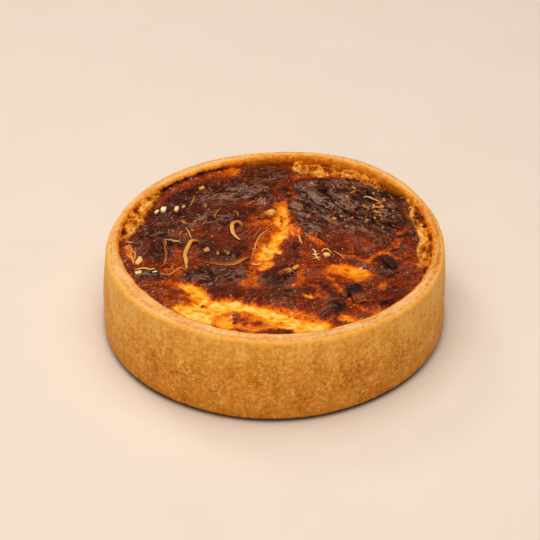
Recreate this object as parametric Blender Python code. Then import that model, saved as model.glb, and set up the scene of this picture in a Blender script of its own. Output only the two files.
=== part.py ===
"""A deep bacon quiche, baked in a straight-sided ring and standing on its own base.

A pastry crust holds a baked custard whose dark skin has cracked open. Bacon pieces
sit in sockets in the custard and strips of onion lie on it. Smaller onion and bacon
bits are part of the custard's own solid.

Lengths are in millimetres and mesh_object scales them to metres. X runs to the right,
Y to the back and Z up, and the crust stands on Z = 0.
"""

import math
from typing import NamedTuple

import bmesh
import bpy
import numpy as np

MM = 0.001

# Driving dimensions
RIM_RADIUS = 98.8
BASE_RADIUS = 102.0
CRUST_HEIGHT = 51.4
WALL = 8.5
FLOOR = 6.0
FOOT_ROUND = 1.6
RIM_ROUND = 3.0
INNER_ROUND = 2.6
TORN_DEPTH = 3.0
FILL_LEVEL = 46.0
GAP = 0.3

# Fineness of the solids
CRUST_STEPS = 96
FILL_GRID = 60
STRIP_SIDES = 6

INNER_RADIUS = RIM_RADIUS - WALL
FILL_RADIUS = INNER_RADIUS - GAP

# The wall starts to follow the uneven rim above this height.
RIM_LIFT_START = 20.0

# Heights at which the outer wall has a row of corners
WALL_HEIGHTS = (14.0, 27.0, 39.0)


class Wave(NamedTuple):
    """An uneven edge: how many lobes go round, how deep they are, and where one points."""

    lobes: int
    depth: float
    direction: float


# The outline of the wall, how the rim leans to one side of it, the inner wall's own outline,
# and how the rim rises and falls
OUTLINE_WAVES = (Wave(2, 1.1, 45), Wave(3, 0.25, 47), Wave(4, 0.6, -41), Wave(5, 0.5, -15))
LEAN_WAVES = (Wave(1, 1.2, -49), Wave(2, 0.5, 0))
INNER_WAVES = (Wave(1, 1.4, 28), Wave(2, 1.5, 20), Wave(3, 1.1, 42), Wave(4, 0.75, -19))
RIM_WAVES = (Wave(2, 1.2, 65),)


class Mound(NamedTuple):
    """An oval of skin that has risen, or sunk where the rise is negative."""

    x: float
    y: float
    along: float
    across: float
    turn: float
    rise: float
    edge: float = 0.35


MOUNDS = (
    Mound(46, 30, 40, 34, -42, 3.2, 0.22),   # the domed skin at the back right
    Mound(26, 1, 24, 15, -40, 1.2),          # its wrinkled front slope
    Mound(-36, 48, 30, 24, 10, 1.8),         # the dark skin at the back left
    Mound(-4, 72, 24, 13, -5, 2.2),          # the skin against the back wall
    Mound(-46, 63, 34, 12, 36, 1.5),         # the skin against the wall at the back left
    Mound(-66, 7, 17, 28, 0, 1.4),           # the skin at the left
    Mound(-32, 4, 20, 20, 0, 0.9),           # the middle left
    Mound(-30, -29, 30, 9, -4, 1.3, 0.5),    # the dark band over the yellow front
    Mound(-60, -39, 24, 13, -38, 1.4),       # the skin at the front left
    Mound(8, -46, 34, 11, -6, 1.3, 0.5),     # the brown skin over the front crack
    Mound(66, -33, 17, 26, -28, 1.2),        # the skin at the front right
    Mound(-14, -70, 26, 9, -10, -0.9, 0.6),  # the wet front hollow
    Mound(42, -22, 15, 7, -28, -1.2, 0.6),   # the bright patch at the right
    Mound(3, -32, 9, 7, 20, -1.4, 0.7),      # the dark pit by the crack
    Mound(-30, -42, 3.2, 3.2, 0, 1.6, 0.8),  # knobs on the front skin
    Mound(-23, -47, 3.6, 3.0, 0, 1.7, 0.8),
    Mound(-3, -79, 7, 4, 0, 1.4, 0.8),
)


class Crease(NamedTuple):
    """A ridge along a line, or a furrow where the rise is negative."""

    points: tuple
    half_width: float
    rise: float


CREASES = (
    # the crack down the middle
    Crease(((9, 60), (4, 44), (5, 28), (2, 12), (-3, -5), (-8, -19), (-14, -33)), 4.4, -2.2),
    # the crack along the front
    Crease(((-52, -37), (-43, -47), (-41, -56), (-20, -57), (0, -63), (20, -71), (34, -75)), 6.0, -2.1),
    # the fold at the edge of the domed skin, and the hollow behind it
    Crease(((8, 42), (20, 37), (33, 25)), 2.6, 2.0),
    Crease(((13, 50), (26, 42), (38, 30)), 3.2, -1.8),
    # the lip where the domed skin ends in front
    Crease(((37, -9), (46, -14), (55, -15), (60, -6), (70, 1), (78, 9)), 2.2, 1.1),
    # gullies beside the wall
    Crease(((69, 62), (76, 52), (79, 38), (79, 24), (80, 10), (82, -4)), 3.2, -2.8),
    Crease(((-66, 55), (-72, 40), (-76, 24), (-82, 10)), 2.6, -1.5),
    Crease(((-66, 52), (-45, 71), (-22, 81)), 2.4, -1.2),
)


class Ledge(NamedTuple):
    """Custard that climbs the wall between two bearings, from a torn edge."""

    start: float
    end: float
    width: float
    rise: float


LEDGES = (Ledge(140, 180, 11.0, 3.0), Ledge(44, 94, 9.0, 2.4), Ledge(-22, 40, 9.0, 3.2))
# How far in the torn edge of a ledge is steep, and the share of its rise that is there
TORN_STEP = 2.4
TORN_SHARE = 0.5


class Wrinkles(NamedTuple):
    """One size of wrinkle: the distance between creases, their height and a seed."""

    spacing: float
    height: float
    seed: int


WRINKLES = (Wrinkles(15.0, 0.55, 3), Wrinkles(8.5, 0.5, 8), Wrinkles(5.6, 0.3, 21))


class Bit(NamedTuple):
    """A small bit of onion or bacon: its place, its length, width and height, and its turn."""

    x: float
    y: float
    length: float
    width: float
    height: float
    turn: float


BITS = (
    Bit(-71.0, 34.0, 3.2, 2.0, 2.0, 70),
    Bit(-67.0, 34.5, 4.2, 3.0, 2.6, 80),
    Bit(-59.0, 34.0, 4.6, 2.4, 2.4, 80),
    Bit(-55.0, 38.0, 2.6, 1.6, 1.6, 60),
    Bit(-44.5, 55.0, 3.8, 2.6, 2.0, 40),
    Bit(-54.0, 21.5, 5.4, 2.2, 1.8, -50),
    Bit(-39.5, -6.5, 3.6, 2.8, 2.2, 30),
    Bit(-33.0, -10.0, 3.4, 1.6, 1.6, 85),
    Bit(-27.0, -9.5, 2.6, 1.8, 1.6, 60),
    Bit(-78.0, -18.0, 5.6, 2.2, 2.0, 65),
    Bit(-78.0, -29.0, 3.8, 3.0, 2.0, 20),
    Bit(-13.5, 43.5, 4.0, 1.8, 1.5, 30),
    Bit(9.0, 57.0, 3.0, 2.0, 1.8, 60),
    Bit(35.5, 22.5, 2.8, 2.2, 1.8, 0),
    Bit(40.0, 25.5, 2.2, 1.8, 1.6, 0),
    Bit(55.0, 21.0, 2.6, 1.8, 1.6, 45),
    Bit(30.0, -11.5, 3.6, 3.0, 2.4, 20),
    Bit(12.0, -22.5, 4.8, 2.4, 2.4, 50),
    Bit(39.0, -50.0, 3.6, 2.4, 1.8, -40),
)

# Golden flecks on the domed skin, spread at random inside an oval
FLECKS = 9
FLECK_OVAL = Mound(55, 37, 15, 16, 0, 0.0)
FLECK_SIZE = (1.8, 2.8)
FLECK_SEED = 5
BIT_SINK = 0.15


class Strip(NamedTuple):
    """A strip of onion: its path over the custard, its width and thickness, and how far it stands up."""

    path: tuple
    width: float
    thickness: float
    arch: float


HOOK_PATH = ((-19.5, 16.5), (-20.5, 20.5), (-23, 21.5), (-25, 17.5), (-25, 12), (-23.5, 7), (-20.5, 3.5))
STRIP_PATH = ((-44, 1), (-47, 1.5), (-49.5, -0.5), (-51, -6), (-51.8, -12), (-51, -19), (-50.5, -25))
LEAF_PATH = ((-41.5, -17), (-36, -19), (-30, -20.2), (-24.5, -19), (-19, -15.5), (-15, -12.2))
THREAD_PATH = ((-65.5, 2.8), (-64, -4.2), (-62.7, -12), (-63.2, -19.8), (-65.2, -24.8))
STRIPS = {
    "onion_hook": Strip(HOOK_PATH, 2.4, 1.5, 1.0),
    "onion_strip": Strip(STRIP_PATH, 2.8, 1.2, 0.4),
    "onion_leaf": Strip(LEAF_PATH, 3.2, 1.0, 0.0),
    "onion_thread": Strip(THREAD_PATH, 1.6, 1.0, 0.0),
}


class Chunk(NamedTuple):
    """A bacon piece: its place and depth in the custard, its size, its turn and tilt, and a seed."""

    x: float
    y: float
    sink: float
    length: float
    width: float
    height: float
    turn: float
    tilt: float
    seed: int


CHUNKS = {
    "bacon_charred": Chunk(46.0, -50.0, 2.6, 13.5, 8.5, 7.0, -68, 14, 4),
    "bacon_dark": Chunk(66.0, -20.0, 1.6, 11.0, 5.0, 4.6, -58, 6, 6),
    "bacon_golden": Chunk(6.0, -26.5, 1.4, 9.0, 4.2, 4.0, 38, 4, 9),
    "bacon_pale": Chunk(-4.5, 31.5, 1.3, 12.0, 4.4, 3.6, 38, -3, 12),
}
CHUNK_ROUGHNESS = 0.35

COLOURS = {
    "crust": ((0.62, 0.33, 0.11, 1.0), 0.62),
    "filling": ((0.22, 0.06, 0.02, 1.0), 0.35),
    "bacon": ((0.20, 0.08, 0.05, 1.0), 0.40),
    "onion": ((0.66, 0.36, 0.10, 1.0), 0.40),
}


def clear_scene():
    """Removes what a new file holds."""
    for item in list(bpy.data.objects):
        bpy.data.objects.remove(item, do_unlink=True)


def material(name):
    """The plain material of one kind of piece."""
    colour, roughness = COLOURS[name]
    made = bpy.data.materials.get(name) or bpy.data.materials.new(name)
    made.use_nodes = True
    shader = made.node_tree.nodes["Principled BSDF"]
    shader.inputs["Base Color"].default_value = colour
    shader.inputs["Roughness"].default_value = roughness
    shader.inputs["Metallic"].default_value = 0.0
    made.diffuse_color = colour
    return made


def mesh_object(name, vertices, faces, kind):
    """An object whose mesh has these corners, given in millimetres, with outward faces."""
    mesh = bpy.data.meshes.new(name)
    mesh.from_pydata((np.asarray(vertices) * MM).tolist(), [], faces)
    mesh.validate()
    work = bmesh.new()
    work.from_mesh(mesh)
    bmesh.ops.recalc_face_normals(work, faces=work.faces)
    work.to_mesh(mesh)
    work.free()
    mesh.materials.append(material(kind))
    mesh.shade_smooth()
    mesh.set_sharp_from_angle(angle=math.radians(40))
    made = bpy.data.objects.new(name, mesh)
    bpy.context.scene.collection.objects.link(made)
    return made


def ramp(value, low, high):
    """0 below low, 1 above high, and a smooth climb between them."""
    t = np.clip((value - low) / (high - low), 0.0, 1.0)
    return t * t * (3.0 - 2.0 * t)


def noise(x, y, spacing, seed):
    """Smooth uneven heights between about -1 and 1, from random slopes on a square lattice."""
    draw = np.random.default_rng(seed)
    order = draw.permutation(256)
    bearing = draw.uniform(0.0, 2.0 * math.pi, 256)
    column = np.floor(x / spacing).astype(int)
    row = np.floor(y / spacing).astype(int)
    across = x / spacing - column
    up = y / spacing - row

    def corner(i, j):
        slope = bearing[order[(order[(column + i) % 256] + row + j) % 256]]
        return np.cos(slope) * (across - i) + np.sin(slope) * (up - j)

    sx = ramp(across, 0.0, 1.0)
    sy = ramp(up, 0.0, 1.0)
    near = corner(0, 0) * (1 - sx) + corner(1, 0) * sx
    far = corner(0, 1) * (1 - sx) + corner(1, 1) * sx
    return 1.5 * (near * (1 - sy) + far * sy)


def waves(bearing, lobes):
    """How far an edge strays at a bearing in radians, as a sum of waves."""
    return sum(w.depth * np.cos(w.lobes * (bearing - math.radians(w.direction))) for w in lobes)


def oval_distance(x, y, oval):
    """0 at an oval's middle and 1 at its edge."""
    turn = math.radians(oval.turn)
    along = (x - oval.x) * math.cos(turn) + (y - oval.y) * math.sin(turn)
    across = (y - oval.y) * math.cos(turn) - (x - oval.x) * math.sin(turn)
    return np.hypot(along / oval.along, across / oval.across)


def line_distance(x, y, points):
    """The distance from each place to the nearest point of a line of straight runs."""
    nearest = np.full(np.shape(x), np.inf)
    for (ax, ay), (bx, by) in zip(points, points[1:]):
        run_x, run_y = bx - ax, by - ay
        part = ((x - ax) * run_x + (y - ay) * run_y) / (run_x ** 2 + run_y ** 2)
        part = np.clip(part, 0.0, 1.0)
        nearest = np.minimum(nearest, np.hypot(x - ax - part * run_x, y - ay - part * run_y))
    return nearest


def ledge_height(x, y):
    """The torn custard on the wall, lens-shaped from above: a steep edge, then a slope up to the wall."""
    bearing = np.degrees(np.arctan2(y, x))
    to_wall = INNER_RADIUS + waves(np.radians(bearing), INNER_WAVES) - np.hypot(x, y)
    ragged = noise(x, y, 5.0, 31)
    height = np.zeros(np.shape(x))
    for ledge in LEDGES:
        part = np.clip((bearing - ledge.start) / (ledge.end - ledge.start), 0.0, 1.0)
        width = ledge.width * np.sin(math.pi * part) ** 0.6 + 1.2 * ragged
        edge = ramp(width - to_wall, 0.0, TORN_STEP)
        slope = np.clip(1.0 - to_wall / np.maximum(width, TORN_STEP), 0.0, 1.0)
        height += ledge.rise * (part > 0) * (part < 1) * edge * (TORN_SHARE + (1.0 - TORN_SHARE) * slope)
    return height * (0.85 + 0.3 * ragged)


def custard_height(x, y):
    """The height of the custard's skin: mounds, creases, ledges and wrinkles on a level."""
    bend_x = x + 2.2 * noise(x, y, 13.0, 41)
    bend_y = y + 2.2 * noise(x, y, 13.0, 42)
    height = np.full(np.shape(x), FILL_LEVEL)
    for mound in MOUNDS:
        distance = oval_distance(bend_x, bend_y, mound)
        height += mound.rise * (1.0 - ramp(distance, 1.0 - mound.edge, 1.0 + mound.edge))
    for crease in CREASES:
        distance = line_distance(bend_x, bend_y, crease.points)
        height += crease.rise * np.exp(-(distance / crease.half_width) ** 2)
    for size in WRINKLES:
        height += size.height * (0.5 - 1.6 * np.abs(noise(x, y, size.spacing, size.seed)))
    return height + ledge_height(x, y)


def arc(centre_r, centre_z, radius, start, end, steps):
    """Profile points along an arc, from one bearing to the other in degrees."""
    bearings = np.radians(np.linspace(start, end, steps + 1))
    return [(centre_r + radius * math.cos(b), centre_z + radius * math.sin(b)) for b in bearings]


def wall_radius(height):
    """The outer wall's radius: it leans in towards the rim, more and more with the height."""
    return BASE_RADIUS - (BASE_RADIUS - RIM_RADIUS) * (height / (CRUST_HEIGHT - RIM_ROUND)) ** 2


def crust_profile():
    """Radius and height of the crust's section, from under the base, over the rim, to the floor."""
    foot = arc(BASE_RADIUS - FOOT_ROUND, FOOT_ROUND, FOOT_ROUND, -90, 0, 2)
    middle = [(wall_radius(height), height) for height in WALL_HEIGHTS]
    rim = arc(RIM_RADIUS - RIM_ROUND, CRUST_HEIGHT - RIM_ROUND, RIM_ROUND, 0, 90, 4)
    inner = arc(INNER_RADIUS + INNER_ROUND, CRUST_HEIGHT - INNER_ROUND, INNER_ROUND, 90, 180, 3)
    wall = [(INNER_RADIUS, CRUST_HEIGHT - INNER_ROUND - TORN_DEPTH), (INNER_RADIUS, FLOOR)]
    return foot + middle + rim + inner + wall


def make_crust():
    """The pastry shell: its profile carried round, with an uneven outline, rim and inner edge."""
    profile = np.array(crust_profile())
    bearing = np.arange(CRUST_STEPS) * 2.0 * math.pi / CRUST_STEPS
    radius, turned = np.meshgrid(profile[:, 0], bearing, indexing="ij")
    height = np.repeat(profile[:, 1:], CRUST_STEPS, axis=1)
    above = ramp(height, RIM_LIFT_START, CRUST_HEIGHT)
    outside = radius > INNER_RADIUS + INNER_ROUND + 0.1
    dents = 0.35 * noise(RIM_RADIUS * turned, height, RIM_RADIUS * math.pi / 16, 51)
    torn = 0.6 * noise(RIM_RADIUS * turned, height * 0.0, RIM_RADIUS * math.pi / 32, 52)
    outline = waves(turned, OUTLINE_WAVES) + waves(turned, LEAN_WAVES) * above
    outline = outline + np.where(height > FOOT_ROUND, dents, 0.0)
    at_inner_edge = height > CRUST_HEIGHT - INNER_ROUND - 0.1
    inline = waves(turned, INNER_WAVES) - np.where(at_inner_edge, torn, 0.0)
    radius = radius + np.where(outside, outline, inline)
    height = height + waves(turned, RIM_WAVES) * above
    rings = np.stack([radius * np.cos(turned), radius * np.sin(turned), height], axis=-1)
    vertices = rings.reshape(-1, 3).tolist() + [[0.0, 0.0, 0.0], [0.0, 0.0, FLOOR]]
    faces = []
    rows = len(profile)
    under, over = rows * CRUST_STEPS, rows * CRUST_STEPS + 1
    for step in range(CRUST_STEPS):
        after = (step + 1) % CRUST_STEPS
        faces.append((under, after, step))
        last = (rows - 1) * CRUST_STEPS
        faces.append((over, last + step, last + after))
        for row in range(rows - 1):
            low, high = row * CRUST_STEPS, (row + 1) * CRUST_STEPS
            faces.append((low + step, low + after, high + after, high + step))
    return mesh_object("crust", vertices, faces, "crust")


def disc_grid(count):
    """A square grid pressed into a round one: radius from 0 to 1 and bearing at each crossing."""
    line = np.linspace(-1.0, 1.0, count + 1)
    across, up = np.meshgrid(line, line, indexing="ij")
    sideways = np.abs(across) > np.abs(up)
    safe_across = np.where(across == 0, 1.0, across)
    safe_up = np.where(up == 0, 1.0, up)
    radius = np.where(sideways, across, up)
    bearing = np.where(sideways, math.pi / 4 * up / safe_across, math.pi / 2 - math.pi / 4 * across / safe_up)
    return radius * np.cos(bearing), radius * np.sin(bearing)


def make_filling():
    """The custard: its skin on a round grid, a side wall and a flat underside."""
    unit_x, unit_y = disc_grid(FILL_GRID)
    bearing = np.arctan2(unit_y, unit_x)
    reach = np.hypot(unit_x, unit_y)
    radius = reach * (FILL_RADIUS + waves(bearing, INNER_WAVES) * reach)
    x, y = radius * np.cos(bearing), radius * np.sin(bearing)
    vertices = np.stack([x, y, custard_height(x, y)], axis=-1).reshape(-1, 3).tolist()
    side = FILL_GRID + 1
    faces = []
    for i in range(FILL_GRID):
        for j in range(FILL_GRID):
            corner = i * side + j
            faces.append((corner, corner + side, corner + side + 1, corner + 1))
    edge = [j for j in range(FILL_GRID)] + [i * side + FILL_GRID for i in range(FILL_GRID)]
    edge += [FILL_GRID * side + j for j in range(FILL_GRID, 0, -1)]
    edge += [i * side for i in range(FILL_GRID, 0, -1)]
    start = len(vertices)
    vertices += [[vertices[k][0], vertices[k][1], FLOOR + GAP] for k in edge]
    vertices.append([0.0, 0.0, FLOOR + GAP])
    centre = len(vertices) - 1
    for k in range(len(edge)):
        after = (k + 1) % len(edge)
        faces.append((edge[k], edge[after], start + after, start + k))
        faces.append((start + k, start + after, centre))
    return mesh_object("filling", vertices, faces, "filling")


def support(x, y, reach):
    """The highest skin within reach of a place."""
    bearings = np.linspace(0.0, 2.0 * math.pi, 12, endpoint=False)
    rings = [(0.0, 0.0)] + [(part * reach * math.cos(b), part * reach * math.sin(b))
                            for b in bearings for part in (0.5, 1.0)]
    return max(float(custard_height(np.array(x + dx), np.array(y + dy))) for dx, dy in rings)


def make_block(name, length, width, height, kind, seed, roughness, cuts):
    """A block with rounded corners and uneven sides, about its own middle."""
    work = bmesh.new()
    bmesh.ops.create_cube(work, size=1.0)
    bmesh.ops.scale(work, vec=(length * MM, width * MM, height * MM), verts=work.verts)
    if cuts:
        bmesh.ops.subdivide_edges(work, edges=work.edges, cuts=cuts, use_grid_fill=True)
    draw = np.random.default_rng(seed)
    for corner in work.verts:
        part = np.array(corner.co) / (np.array([length, width, height]) * MM / 2)
        roundness = 1.0 - 0.10 * float(np.sum(np.abs(part) > 0.99) - 1)
        push = 1.0 + roughness * draw.uniform(-0.5, 0.5, 3)
        corner.co = [c * roundness * p for c, p in zip(corner.co, push)]
    mesh = bpy.data.meshes.new(name)
    bmesh.ops.recalc_face_normals(work, faces=work.faces)
    work.to_mesh(mesh)
    work.free()
    mesh.materials.append(material(kind))
    mesh.shade_smooth()
    mesh.set_sharp_from_angle(angle=math.radians(40))
    made = bpy.data.objects.new(name, mesh)
    bpy.context.scene.collection.objects.link(made)
    return made


def make_bits():
    """The small bits that are fused to the custard, listed ones and scattered flecks."""
    draw = np.random.default_rng(FLECK_SEED)
    bits = list(BITS)
    for _ in range(FLECKS):
        spread = math.sqrt(draw.uniform(0.0, 1.0))
        bearing = draw.uniform(0.0, 2.0 * math.pi)
        size = draw.uniform(*FLECK_SIZE)
        x = FLECK_OVAL.x + spread * FLECK_OVAL.along * math.cos(bearing)
        y = FLECK_OVAL.y + spread * FLECK_OVAL.across * math.sin(bearing)
        bits.append(Bit(x, y, size, 0.7 * size, 0.6 * size, math.degrees(bearing)))
    made = []
    for number, bit in enumerate(bits):
        block = make_block(f"bit_{number}", bit.length, bit.width, bit.height, "filling", number, 0.25, 0)
        top = float(custard_height(np.array(bit.x), np.array(bit.y)))
        block.location = (bit.x * MM, bit.y * MM, (top + BIT_SINK * bit.height) * MM)
        block.rotation_euler = (0.0, 0.0, math.radians(bit.turn))
        made.append(block)
    return made


def smooth_path(points, per_run):
    """Places along a smooth curve through the given points."""
    anchors = np.array([points[0]] + list(points) + [points[-1]], dtype=float)
    steps = np.arange(per_run) / per_run
    pieces = []
    for a, b, c, d in zip(anchors, anchors[1:], anchors[2:], anchors[3:]):
        t = steps[:, None]
        bend = 2 * b + (c - a) * t + (2 * a - 5 * b + 4 * c - d) * t ** 2 + (3 * b - a - 3 * c + d) * t ** 3
        pieces.append(0.5 * bend)
    return np.vstack(pieces + [anchors[-1:]])


def make_strip(name, strip):
    """An onion strip: an oval section carried along its path, narrow at both ends."""
    path = smooth_path(strip.path, 3)
    run = np.gradient(path, axis=0)
    run /= np.linalg.norm(run, axis=1)[:, None]
    part = np.linspace(0.0, 1.0, len(path))
    swell = 0.35 + 0.65 * np.sin(math.pi * part) ** 0.5
    reach = strip.width / 2 + 2.0
    level = np.array([support(x, y, reach) for x, y in path])
    level += GAP + strip.thickness / 2 + strip.arch * np.sin(math.pi * part)
    turn = np.arange(STRIP_SIDES) * 2.0 * math.pi / STRIP_SIDES
    across = np.cos(turn)[None, :] * (strip.width / 2 * swell)[:, None]
    up = np.sin(turn)[None, :] * (strip.thickness / 2 * swell)[:, None]
    x = path[:, :1] - run[:, 1:] * across
    y = path[:, 1:] + run[:, :1] * across
    z = level[:, None] + up
    vertices = np.stack([x, y, z], axis=-1).reshape(-1, 3).tolist()
    faces = []
    for row in range(len(path) - 1):
        for side in range(STRIP_SIDES):
            after = (side + 1) % STRIP_SIDES
            low, high = row * STRIP_SIDES, (row + 1) * STRIP_SIDES
            faces.append((low + side, low + after, high + after, high + side))
    faces.append(tuple(range(STRIP_SIDES)))
    faces.append(tuple(range(len(vertices) - STRIP_SIDES, len(vertices))))
    return mesh_object(name, vertices, faces, "onion")


def make_chunk(name, chunk):
    """A bacon piece, tilted and partly sunk in the custard."""
    piece = make_block(name, chunk.length, chunk.width, chunk.height, "bacon", chunk.seed, CHUNK_ROUGHNESS, 2)
    top = float(custard_height(np.array(chunk.x), np.array(chunk.y)))
    piece.location = (chunk.x * MM, chunk.y * MM, (top - chunk.sink + chunk.height / 2) * MM)
    piece.rotation_euler = (0.0, math.radians(chunk.tilt), math.radians(chunk.turn))
    return piece


def socket_cutter(piece):
    """The hull of a piece, grown by the gap, that leaves room for it."""
    work = bmesh.new()
    for corner in piece.data.vertices:
        work.verts.new(corner.co)
    bmesh.ops.convex_hull(work, input=work.verts)
    inside = [corner for corner in work.verts if not corner.link_faces]
    bmesh.ops.delete(work, geom=inside, context="VERTS")
    bmesh.ops.recalc_face_normals(work, faces=work.faces)
    grown = [corner.co + corner.normal * corner.calc_shell_factor() * GAP * MM for corner in work.verts]
    for corner, place in zip(work.verts, grown):
        corner.co = place
    mesh = bpy.data.meshes.new(piece.name + "_socket")
    work.to_mesh(mesh)
    work.free()
    cutter = bpy.data.objects.new(mesh.name, mesh)
    cutter.matrix_world = piece.matrix_world
    bpy.context.scene.collection.objects.link(cutter)
    return cutter


def combine(target, tools, operation):
    """Joins a group of objects to the target, or cuts them from it, and removes them."""
    group = bpy.data.collections.new("tools")
    bpy.context.scene.collection.children.link(group)
    for tool in tools:
        group.objects.link(tool)
    step = target.modifiers.new("combine", "BOOLEAN")
    step.operation = operation
    step.operand_type = "COLLECTION"
    step.collection = group
    step.solver = "EXACT"
    bpy.context.view_layer.update()
    evaluated = target.evaluated_get(bpy.context.evaluated_depsgraph_get())
    mesh = bpy.data.meshes.new_from_object(evaluated)
    target.modifiers.clear()
    target.data = mesh
    for tool in tools:
        bpy.data.objects.remove(tool, do_unlink=True)
    bpy.data.collections.remove(group)


def recentre(crust, pieces):
    """Moves everything so that the crust's box is centred over the origin."""
    corners = np.array([corner.co for corner in crust.data.vertices])
    middle = (corners.min(axis=0) + corners.max(axis=0)) / 2
    for piece in pieces:
        piece.location.x -= middle[0]
        piece.location.y -= middle[1]


def main():
    """Builds the quiche."""
    clear_scene()
    crust = make_crust()
    filling = make_filling()
    combine(filling, make_bits(), "UNION")
    bacon = [make_chunk(name, chunk) for name, chunk in CHUNKS.items()]
    bpy.context.view_layer.update()
    combine(filling, [socket_cutter(piece) for piece in bacon], "DIFFERENCE")
    onion = [make_strip(name, strip) for name, strip in STRIPS.items()]
    recentre(crust, [crust, filling] + bacon + onion)


main()
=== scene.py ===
"""Looks of a deep bacon quiche: baked crust, cracked custard skin, bacon and onion.

Lengths are in millimetres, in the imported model's frame, and Mesh.build scales them to
metres. X runs to the right, Y to the back and Z up.
"""

from __future__ import annotations

import logging
import math
from dataclasses import astuple, dataclass, field, replace
from enum import Enum

import bpy
import numpy as np
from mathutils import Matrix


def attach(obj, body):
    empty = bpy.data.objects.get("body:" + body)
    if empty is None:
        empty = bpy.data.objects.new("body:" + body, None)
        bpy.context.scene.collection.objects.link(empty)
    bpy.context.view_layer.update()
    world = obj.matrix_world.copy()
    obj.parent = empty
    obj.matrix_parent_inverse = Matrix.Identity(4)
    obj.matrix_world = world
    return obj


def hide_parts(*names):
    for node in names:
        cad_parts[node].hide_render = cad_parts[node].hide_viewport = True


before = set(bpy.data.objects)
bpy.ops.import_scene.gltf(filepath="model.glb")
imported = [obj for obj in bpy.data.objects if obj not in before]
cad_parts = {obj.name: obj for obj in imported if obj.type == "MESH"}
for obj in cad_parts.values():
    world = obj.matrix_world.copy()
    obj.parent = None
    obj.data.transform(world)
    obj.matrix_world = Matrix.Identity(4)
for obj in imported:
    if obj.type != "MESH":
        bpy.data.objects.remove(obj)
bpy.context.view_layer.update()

Array = np.ndarray
Socket = bpy.types.NodeSocket
Sockets = bpy.types.bpy_prop_collection
Material = bpy.types.Material
NodeTree = bpy.types.NodeTree
LOG = logging.getLogger("quiche")
MM = 0.001


class Slot(Enum):
    """Material slots."""

    PASTRY = "pastry"
    CUSTARD = "custard"
    BACON = "bacon"
    ONION = "onion"


# ---- sizes and places


@dataclass(frozen=True)
class Wave:
    """One wave of an uneven edge: how many lobes, how deep, and a direction in degrees."""

    lobes: int
    depth: float
    direction: float


class SoftMark:
    """A mark whose distance is 0 at its middle and 1 at its edge."""

    edge: float

    def distance(self, x: Array, y: Array) -> Array:
        """How far each place is from the middle, as a share of the way to the edge."""
        raise NotImplementedError

    def mask(self, x: Array, y: Array) -> Array:
        """1 inside the mark and 0 outside, with its soft edge."""
        return 1.0 - ramp(self.distance(x, y), 1.0 - self.edge, 1.0 + self.edge)


@dataclass(frozen=True)
class Oval(SoftMark):
    """A soft-edged oval. amount is what it stands for at its middle, in the field it belongs to."""

    x: float
    y: float
    along: float
    across: float
    amount: float
    turn: float = 0.0
    edge: float = 0.6

    def distance(self, x: Array, y: Array) -> Array:
        """0 at the oval's middle and 1 at its edge."""
        along, across = along_across(x - self.x, y - self.y, math.radians(self.turn))
        return np.hypot(along / self.along, across / self.across)


@dataclass(frozen=True)
class Line(SoftMark):
    """A soft line through a few points. amount is what it stands for on the line."""

    points: tuple
    half_width: float
    amount: float
    edge: float = 0.6

    def distance(self, x: Array, y: Array) -> Array:
        """0 on the line and 1 at its half width."""
        return run_distance(x, y, self.points) / self.half_width

    def bell(self, x: Array, y: Array) -> Array:
        """A bell across the line: 1 on it, and 0.37 at its half width."""
        return np.exp(-(self.distance(x, y) ** 2))


@dataclass(frozen=True)
class Patch:
    """An area inside a closed outline. amount is what it stands for, and edge its softness in mm."""

    points: tuple
    amount: float
    edge: float = 1.2

    def mask(self, x: Array, y: Array) -> Array:
        """1 inside the outline and 0 outside. From an inside place, a ray crosses an odd number of sides."""
        closed = self.points + self.points[:1]
        inside = np.zeros(np.shape(x), bool)
        for (ax, ay), (bx, by) in zip(closed, closed[1:]):
            if ay != by:
                inside ^= ((ay > y) != (by > y)) & (x < (bx - ax) * (y - ay) / (by - ay) + ax)
        distance = run_distance(x, y, closed)
        return 1.0 - ramp(np.where(inside, -distance, distance), -self.edge, self.edge)


@dataclass(frozen=True)
class Ledge:
    """Custard that climbs the wall between two bearings in degrees."""

    start: float
    end: float
    width: float
    rise: float


@dataclass(frozen=True)
class QuicheSize:
    """The driving sizes, as in the solid parts."""

    rim_radius: float = 98.8
    base_radius: float = 102.0
    height: float = 51.4
    wall: float = 8.5
    floor: float = 6.0
    foot_round: float = 1.6
    rim_round: float = 3.0
    inner_round: float = 2.6
    fill_level: float = 46.0
    centre_shift: tuple = (0.08, 0.59)
    outline: tuple = (Wave(2, 1.1, 45), Wave(3, 0.25, 47), Wave(4, 0.6, -41), Wave(5, 0.5, -15))
    lean: tuple = (Wave(1, 1.2, -49), Wave(2, 0.5, 0))
    inner: tuple = (Wave(1, 1.4, 28), Wave(2, 1.5, 20), Wave(3, 1.1, 42), Wave(4, 0.75, -19))
    rim: tuple = (Wave(2, 1.2, 65),)

    @property
    def inner_radius(self) -> float:
        """Radius of the crust's inner wall."""
        return self.rim_radius - self.wall

    def wall_radius(self, height: Array) -> Array:
        """Radius of the outer wall, which leans in with the square of the height."""
        share = (height / (self.height - self.rim_round)) ** 2
        return self.base_radius - (self.base_radius - self.rim_radius) * share


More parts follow.
